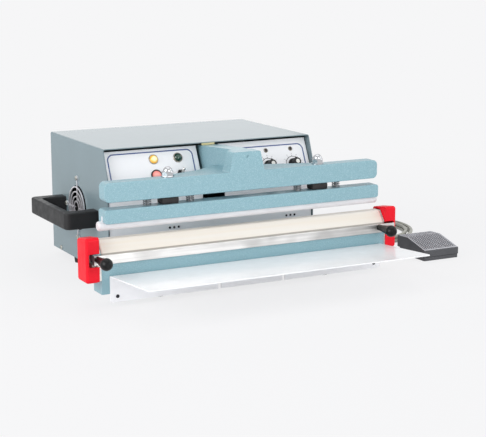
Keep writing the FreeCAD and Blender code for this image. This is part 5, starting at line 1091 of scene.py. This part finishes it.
class SEALER_OT_release_cloth(bpy.types.Operator):
    """Drape the release cloth over the lower jaw, down to the clamp bar"""

    bl_idname = "sealer.release_cloth"
    bl_label = "Release cloth"

    def profile(self):
        """The cloth's section over the jaw: points, their run from the front edge and their normals."""
        lift = 0.75
        # Corners of the jaw's section, back and up, each with the radius that the cloth takes round it.
        bends = [
            ((-11 - lift, 69.2), 0),
            ((-11 - lift, 80.5 + lift * 0.34), 14 + lift),
            ((4.5 - lift * 0.46, 101.3 + lift), 3 + lift),
            ((17 + lift * 0.53, 101.3 + lift), 1.5 + lift),
            ((21 + lift, 95 + lift * 0.29), 1.5 + lift),
            ((21 + lift, 83.2), 0),
        ]
        line = [Vector(bends[0][0])]
        for (before, _), (corner, radius), (after, _) in zip(bends, bends[1:], bends[2:]):
            corner, before, after = Vector(corner), Vector(before), Vector(after)
            back, on = (before - corner).normalized(), (after - corner).normalized()
            half = back.angle(on) / 2
            reach = radius / math.tan(half)
            middle = corner + (back + on).normalized() * (radius / math.sin(half))
            first, last = corner + back * reach, corner + on * reach
            arc_steps = 6
            for i in range(arc_steps + 1):
                spoke = (first - middle).normalized().slerp((last - middle).normalized(), i / arc_steps)
                line.append(middle + spoke * radius)
        line.append(Vector(bends[-1][0]))
        longest_step = 3.0
        spots = []
        for a, b in zip(line, line[1:]):
            pieces = max(1, int((b - a).length / longest_step))
            spots += [a.lerp(b, i / pieces) for i in range(pieces)]
        spots.append(line[-1])
        run = [0.0]
        for a, b in zip(spots, spots[1:]):
            run.append(run[-1] + (b - a).length)
        normals = []
        for i in range(len(spots)):
            way = spots[min(i + 1, len(spots) - 1)] - spots[max(i - 1, 0)]
            normals.append(Vector((-way.y, way.x)).normalized())
        return spots, run, normals

    def execute(self, context):
        spots, run, normals = self.profile()
        # The cloth's left end and length in millimetres, and its strips along that length.
        left_end, long, across = -255.7, 507.4, 166
        vertices, faces, uvs = [], [], []
        slack = sizes().cloth_wave / MM
        free_run = 40
        for j in range(across + 1):
            x = left_end + long * j / across
            for i, (spot, normal) in enumerate(zip(spots, normals)):
                free = math.sin(math.pi * min(run[i] / free_run, 1))
                broad = 0.3 * math.sin(x / 23 + run[i] / 17)
                fine = 0.2 * math.sin(x / 9.5 - run[i] / 8)
                out = spot + normal * (slack * free * (0.5 + broad + fine))
                vertices.append(tuple(at(x, out.x, out.y)))
                uvs.append((x * MM, run[i] * MM))
        rows = len(spots)
        for j in range(across):
            for i in range(rows - 1):
                a = j * rows + i
                faces.append((a, a + rows, a + rows + 1, a + 1))
        mesh = bpy.data.meshes.new("release_cloth_sheet")
        mesh.from_pydata(vertices, [], faces)
        weave = mesh.uv_layers.new(name="weave")
        for loop in mesh.loops:
            weave.data[loop.index].uv = uvs[loop.vertex_index]
        mesh.polygons.foreach_set("use_smooth", [True] * len(mesh.polygons))
        mesh.materials.append(finishes["release_cloth"])
        piece = keep("release_cloth_sheet", mesh, "cabinet", ["release_cloth"])
        wall = piece.modifiers.new("thickness", "SOLIDIFY")
        wall.thickness = sizes().cloth_thickness
        wall.offset = 0
        return {"FINISHED"}


class SEALER_OT_springs(bpy.types.Operator):
    """Wind the jaw, return and pedal springs"""

    bl_idname = "sealer.springs"
    bl_label = "Springs"

    def execute(self, context):
        tree = spring_tree()
        s = sizes()
        jaw, back, pedal = s.jaw_spring_wire, s.return_spring_wire, s.pedal_spring_wire
        for name, node, body, wire, turns, joint, high_end, keep_share in (
            ("jaw_spring_set", "jaw_springs", "arm", jaw, 4.0, "jaw_float", True, 0.71),
            ("arm_return_spring", "return_spring", "cabinet", back, 7.0, "arm_close", False, 0.88),
            ("treadle_spring", "pedal_spring", "cabinet", pedal, 6.0, "pedal_press", False, 0.86),
        ):
            low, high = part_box(node)
            middle = (low + high) / 2
            if node == "jaw_springs":
                feet = [at(x, BOLT_LINE, 0) for x in (-170, -97, 97, 170)]
                width = 13.3 * MM
            else:
                feet = [middle]
                width = (high - low).x
            for foot in feet:
                foot.z = low.z
            values = {
                "Radius": (width - wire) / 2,
                "Wire": wire,
                "Height": high.z - low.z,
                "Turns": turns,
                "Material": finishes["spring_steel"],
            }
            piece = keep(name, grow(name, tree, feet, values), body, [node])
            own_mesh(piece)
        return {"FINISHED"}


class SEALER_OT_buffers(bpy.types.Operator):
    """Form the rubber buffer blocks round the suspension bolts"""

    bl_idname = "sealer.buffers"
    bl_label = "Buffer blocks"

    def execute(self, context):
        low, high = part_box("buffer_blocks")
        bolt_x, wide, deep = 134.5, 27.5 * MM, 19.0 * MM
        edge, swell = 1.4 * MM, 0.45 * MM
        shape = bmesh.new()
        for x in (-bolt_x, bolt_x):
            middle = at(x, BOLT_LINE, 0)
            middle.z = (low.z + high.z) / 2
            size = Matrix.Diagonal((wide, deep, high.z - low.z, 1))
            bmesh.ops.create_cube(shape, size=1.0, matrix=Matrix.Translation(middle) @ size)
        bmesh.ops.bevel(
            shape, geom=shape.edges[:], offset=edge, segments=3, profile=0.6, affect="EDGES"
        )
        upright = [e for e in shape.edges if abs(e.verts[0].co.z - e.verts[1].co.z) > 4 * MM]
        bmesh.ops.subdivide_edges(shape, edges=upright, cuts=4, use_grid_fill=True)
        middle_z, half = (low.z + high.z) / 2, (high.z - low.z) / 2
        for vertex in shape.verts:
            bulge = max(0, 1 - ((vertex.co.z - middle_z) / half) ** 2) * swell
            centre = at(-bolt_x if vertex.co.x < bar_middle_x else bolt_x, BOLT_LINE, 0)
            for axis in (0, 1):
                vertex.co[axis] += math.copysign(bulge, vertex.co[axis] - centre[axis])
        mesh = take("buffer_set", shape, "black_rubber")
        mesh.polygons.foreach_set("use_smooth", [True] * len(mesh.polygons))
        piece = keep("buffer_set", mesh, "arm", ["buffer_blocks"])
        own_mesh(piece)
        return {"FINISHED"}


class SEALER_OT_windings(bpy.types.Operator):
    """Wind the solenoid coil and the transformer"""

    bl_idname = "sealer.windings"
    bl_label = "Windings"

    def execute(self, context):
        tree = winding_tree()
        wire = sizes().magnet_wire
        # A round coil is a square one whose corners are rounded to just short of half its width.
        short = 0.1 * MM
        for name, node, corner in (
            ("solenoid_turns", "solenoid_coil", None),
            ("transformer_turns", "transformer_winding", 7 * MM),
        ):
            low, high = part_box(node)
            size = high - low
            turns = int((size.z - wire * 0.02) / wire)
            foot = (low + high) / 2
            foot.z = low.z + wire / 2
            values = {
                "Width": size.x - wire,
                "Depth": size.y - wire,
                "Corner": corner or (size.x - wire) / 2 - short,
                "Wire": wire,
                "Turns": turns,
                "Material": finishes["copper"],
            }
            keep(name, grow(name, tree, [foot], values), "cabinet", [node])
        return {"FINISHED"}


class SEALER_OT_panel_printing(bpy.types.Operator):
    """Print the border lines, dial ticks and numerals on the front panels"""

    bl_idname = "sealer.panel_printing"
    bl_label = "Panel printing"

    def execute(self, context):
        s = sizes()
        slope = 1 / math.cos(PANEL_LEAN)
        lift = s.ink / MM * 0.7
        tree = border_tree()
        for name, left, right, low, high in (
            ("left_border", -181, -30, 156, 206.5),
            ("right_border", 30, 181, 156, 202),
        ):
            values = {
                "Width": (right - left) * MM,
                "Height": (high - low) * slope * MM,
                "Corner": s.border_corner,
                "Line": s.border_line,
                "Ink": s.ink,
                "Turn": tuple(PANEL_TURN),
                "Material": finishes["border_ink"],
            }
            middle = on_panel((left + right) / 2, (low + high) / 2, lift)
            keep(name, grow(name, tree, [middle], values), "cabinet")
        dials = [on_panel(x, LOWER_ROW, lift) for x in DIALS_X]
        sweep = math.radians(300)
        values = {
            "Count": s.tick_count,
            "Circle": s.tick_radius,
            "Length": s.tick_length,
            "Width": s.tick_width,
            "Ink": s.ink,
            "Sweep": sweep,
            "Ring": s.dial_ring,
            "Line": s.dial_line,
            "Turn": tuple(PANEL_TURN),
            "Material": finishes["dial_ink"],
        }
        keep("dial_ticks", grow("dial_ticks", dial_tree(), dials, values), "cabinet")
        turn = PANEL_TURN.to_matrix().to_4x4()
        shape = bmesh.new()
        for dial in dials:
            for i in range(s.tick_count):
                data = bpy.data.curves.new("numeral", "FONT")
                data.body = str(i)
                data.size = s.numeral_height
                data.align_x, data.align_y = "CENTER", "CENTER"
                data.extrude = s.ink / 2
                flat = settle(show("numeral", data))
                angle = sweep * (0.5 - i / (s.tick_count - 1))
                ring = s.tick_radius + s.tick_length + s.numeral_height * 0.85
                place = Vector((-math.sin(angle) * ring, math.cos(angle) * ring, 0))
                flat.transform(Matrix.Translation(dial) @ turn @ Matrix.Translation(place))
                shape.from_mesh(flat)
                bpy.data.meshes.remove(flat)
        mesh = take("dial_numerals", shape, "dial_ink")
        keep("dial_numerals", mesh, "cabinet")
        return {"FINISHED"}


class SEALER_OT_knob_inlays(bpy.types.Operator):
    """Let a white disc into each timer knob's top"""

    bl_idname = "sealer.knob_inlays"
    bl_label = "Knob inlays"

    def execute(self, context):
        radius = sizes().inlay_radius
        thick, knob_top = 0.3 * MM, 17.55
        turn = PANEL_TURN.to_matrix().to_4x4()
        for body, x in zip(("heat_knob", "cool_knob"), DIALS_X):
            name = f"{body}_inlay"
            shape = bmesh.new()
            bmesh.ops.create_cone(
                shape,
                cap_ends=True,
                segments=48,
                radius1=radius,
                radius2=radius * 0.96,
                depth=thick,
                matrix=Matrix.Translation(on_panel(x, LOWER_ROW, knob_top)) @ turn,
            )
            keep(name, take(name, shape, "insulator"), body)
        return {"FINISHED"}


class SEALER_OT_pedal_tread(bpy.types.Operator):
    """Lay the rubber tread over the treadle's two slopes: a rim, a field inside it and rows of bumps"""

    bl_idname = "sealer.pedal_tread"
    bl_label = "Pedal tread"

    def slab(self, name, line, left, right, lift, finish):
        """A thin slab that follows the treadle's top line."""
        vertices, faces = [], []
        for y, z in line:
            for x, up in ((left, 0), (left, lift), (right, lift), (right, 0)):
                vertices.append(at(x, y, z + up))
        for i in range(len(line) - 1):
            for j in range(4):
                k = (j + 1) % 4
                faces.append((4 * i + j, 4 * i + k, 4 * i + 4 + k, 4 * i + 4 + j))
        faces += [(3, 2, 1, 0), tuple(4 * len(line) - 4 + j for j in range(4))]
        mesh = bpy.data.meshes.new(name)
        mesh.from_pydata(vertices, [], faces)
        mesh.materials.append(finishes[finish])
        keep(name, face_outwards(mesh), "treadle")

    def execute(self, context):
        s = sizes()
        left, right = 353.8, 424.2
        # The treadle's top line, back and up: its toe, the bend between its slopes and its heel.
        front, kink, back = Vector((12.6, 18.45)), Vector((64, 32)), Vector((92.2, 31.05))
        bend, curve_steps = 12.0, 8
        into, out = (front - kink).normalized(), (back - kink).normalized()
        reach = bend / math.tan(into.angle(out) / 2)
        a, b = kink + into * reach, kink + out * reach
        curve = []
        for i in range(curve_steps + 1):
            t = i / curve_steps
            curve.append(a * (1 - t) ** 2 + kink * (2 * t * (1 - t)) + b * t**2)
        rim_lift, field_lift, bump_rise = 0.7, 0.8, 0.6
        rim = s.tread_rim / MM
        # Rim and bumps take the paler grey and the field between the bumps the darker one: painted
        # highlight and painted shade.
        self.slab("tread_rim", [front] + curve + [back], left, right, rim_lift, "pedal_top")
        line = [front - into * rim] + curve + [back - out * rim]
        left, right = left + rim, right - rim
        self.slab("tread_field", line, left, right, field_lift, "pedal_pad")
        runs = [(b - a).length for a, b in zip(line, line[1:])]
        whole = sum(runs)
        pitch = s.tread_pitch / MM
        rows, columns = int(whole / pitch), int((right - left) / pitch)
        spots = []
        for i in range(rows):
            along = whole * (i + 0.5) / rows
            step = 0
            while along > runs[step]:
                along -= runs[step]
                step += 1
            y, z = line[step].lerp(line[step + 1], along / runs[step])
            for j in range(columns):
                spots.append(at(left + (right - left) * (j + 0.5) / columns, y, z + field_lift))
        values = {"Bump": s.tread_bump, "Rise": bump_rise, "Material": finishes["pedal_top"]}
        keep("tread_bumps", grow("tread_bumps", bump_tree(), spots, values), "treadle")
        return {"FINISHED"}


class SEALER_OT_case_screws(bpy.types.Operator):
    """Cut cross-recessed pan heads and set them where the case screws are"""

    bl_idname = "sealer.case_screws"
    bl_label = "Case screws"

    def pan_head(self):
        """One screw with its shank, its domed head and the cross cut into that."""
        radius, high, sides = 4.0 * MM, 2.4 * MM, 32
        blade, deep = 0.9 * MM, 2.4 * MM
        # Shares of the head's radius and levels in millimetres, up the shank and over the dome.
        shank = ((0.55, -3.9), (0.55, 0))
        dome = ((1, 0), (1, 0.8), (0.86, 1.75), (0.6, 2.25), (0.42, 2.4))
        shape = bmesh.new()
        rings = []
        for share, level in shank + dome:
            ring = []
            for i in range(sides):
                angle = 2 * math.pi * i / sides
                x, y = radius * share * math.cos(angle), radius * share * math.sin(angle)
                ring.append(shape.verts.new((x, y, level * MM)))
            rings.append(ring)
        for a, b in zip(rings, rings[1:]):
            for i in range(sides):
                k = (i + 1) % sides
                shape.faces.new((a[i], a[k], b[k], b[i]))
        shape.faces.new(list(reversed(rings[0])))
        shape.faces.new(rings[-1])
        blank = show("screw", take("screw", shape))
        cross = bmesh.new()
        recess = sizes().screw_recess
        for size in ((recess, blade, deep), (blade, recess, deep)):
            lift = Matrix.Translation((0, 0, high))
            bmesh.ops.create_cube(cross, size=1.0, matrix=lift @ Matrix.Diagonal((*size, 1)))
        tool = show("cross", take("cross", cross))
        cut = blank.modifiers.new("recess", "BOOLEAN")
        cut.operation, cut.object, cut.solver = "DIFFERENCE", tool, "EXACT"
        cut.use_self = True
        head = show("screw", settle(blank))
        bpy.data.objects.remove(tool)
        return head

    def execute(self, context):
        quarter = math.pi / 2
        to_left, to_right, to_front = (0, -quarter, 0), (0, quarter, 0), (quarter, 0, 0)
        hood_x, guard_x, tray_face = 191.5, 193.3, -12.7
        guard = ((253.4, 154.3), (304.0, 103.7), (253.4, 53.1), (202.8, 103.7))
        heads = [(-hood_x, y, 17.6, to_left) for y in (135, 340)]
        heads += [(hood_x, y, 17.6, to_right) for y in (135, 340)]
        heads += [(-guard_x, y, z, to_left) for y, z in guard]
        heads += [(x, tray_face, 27.5, to_front) for x in (-58, 58)]
        points = [at(x, y, z) for x, y, z, _ in heads]
        turns = [turn for _, _, _, turn in heads]
        head = self.pan_head()
        tree = screw_tree(head)
        slot = slot_of["case_screws"]
        full = [1.0] * len(points)
        made = grow("case_screw_set", tree, points, {"Material": finishes[slot]}, turns, full)
        keep("case_screw_set", made, "cabinet", ["case_screws"])
        # The black heads at the tray's ends and on the lower panels are partly painted shade: they are
        # black to stand for the dark of the holes and gaps round them.
        spots = [(x, tray_face, 15.6, 0.7) for x in (-231.7, 231.7)]
        spots += [(x, PANEL_FOLD[0], 82.6, 0.5) for x in (-82, -74, -66, 139, 147, 155)]
        points = [at(x, y, z) for x, y, z, _ in spots]
        turns = [to_front] * len(spots)
        scales = [scale for _, _, _, scale in spots]
        dark = {"Material": finishes["black_oxide"]}
        made = grow("dark_screw_set", tree, points, dark, turns, scales)
        bpy.data.objects.remove(head)
        keep("dark_screw_set", made, "cabinet")
        return {"FINISHED"}


class SEALER_PT_panel(bpy.types.Panel):
    """The sealer's pieces, sizes and colours"""

    bl_label = "Impulse heat sealer"
    bl_idname = "SEALER_PT_panel"
    bl_space_type = "VIEW_3D"
    bl_region_type = "UI"
    bl_category = "Sealer"

    def draw(self, context):
        for step in steps:
            self.layout.operator(step.bl_idname)
        for group in (context.scene.sealer_sizes, context.scene.sealer_colours):
            column = self.layout.column(align=True)
            for name in group.__annotations__:
                column.prop(group, name)


steps = (
    SEALER_OT_stage,
    SEALER_OT_finishes,
    SEALER_OT_pedal_cord,
    SEALER_OT_release_cloth,
    SEALER_OT_springs,
    SEALER_OT_buffers,
    SEALER_OT_windings,
    SEALER_OT_panel_printing,
    SEALER_OT_knob_inlays,
    SEALER_OT_pedal_tread,
    SEALER_OT_case_screws,
)
classes = (SealerColours, SealerSizes, *steps, SEALER_PT_panel)


def register():
    """Add the classes and the scene's properties."""
    for kind in classes:
        bpy.utils.register_class(kind)
    bpy.types.Scene.sealer_colours = PointerProperty(type=SealerColours)
    bpy.types.Scene.sealer_sizes = PointerProperty(type=SealerSizes)


def unregister():
    """Remove them again."""
    del bpy.types.Scene.sealer_sizes
    del bpy.types.Scene.sealer_colours
    for kind in reversed(classes):
        bpy.utils.unregister_class(kind)


def main():
    """Make the sealer's looks in order."""
    register()
    for step in steps:
        group, name = step.bl_idname.split(".")
        getattr(getattr(bpy.ops, group), name)()


if __name__ == "__main__":
    main()
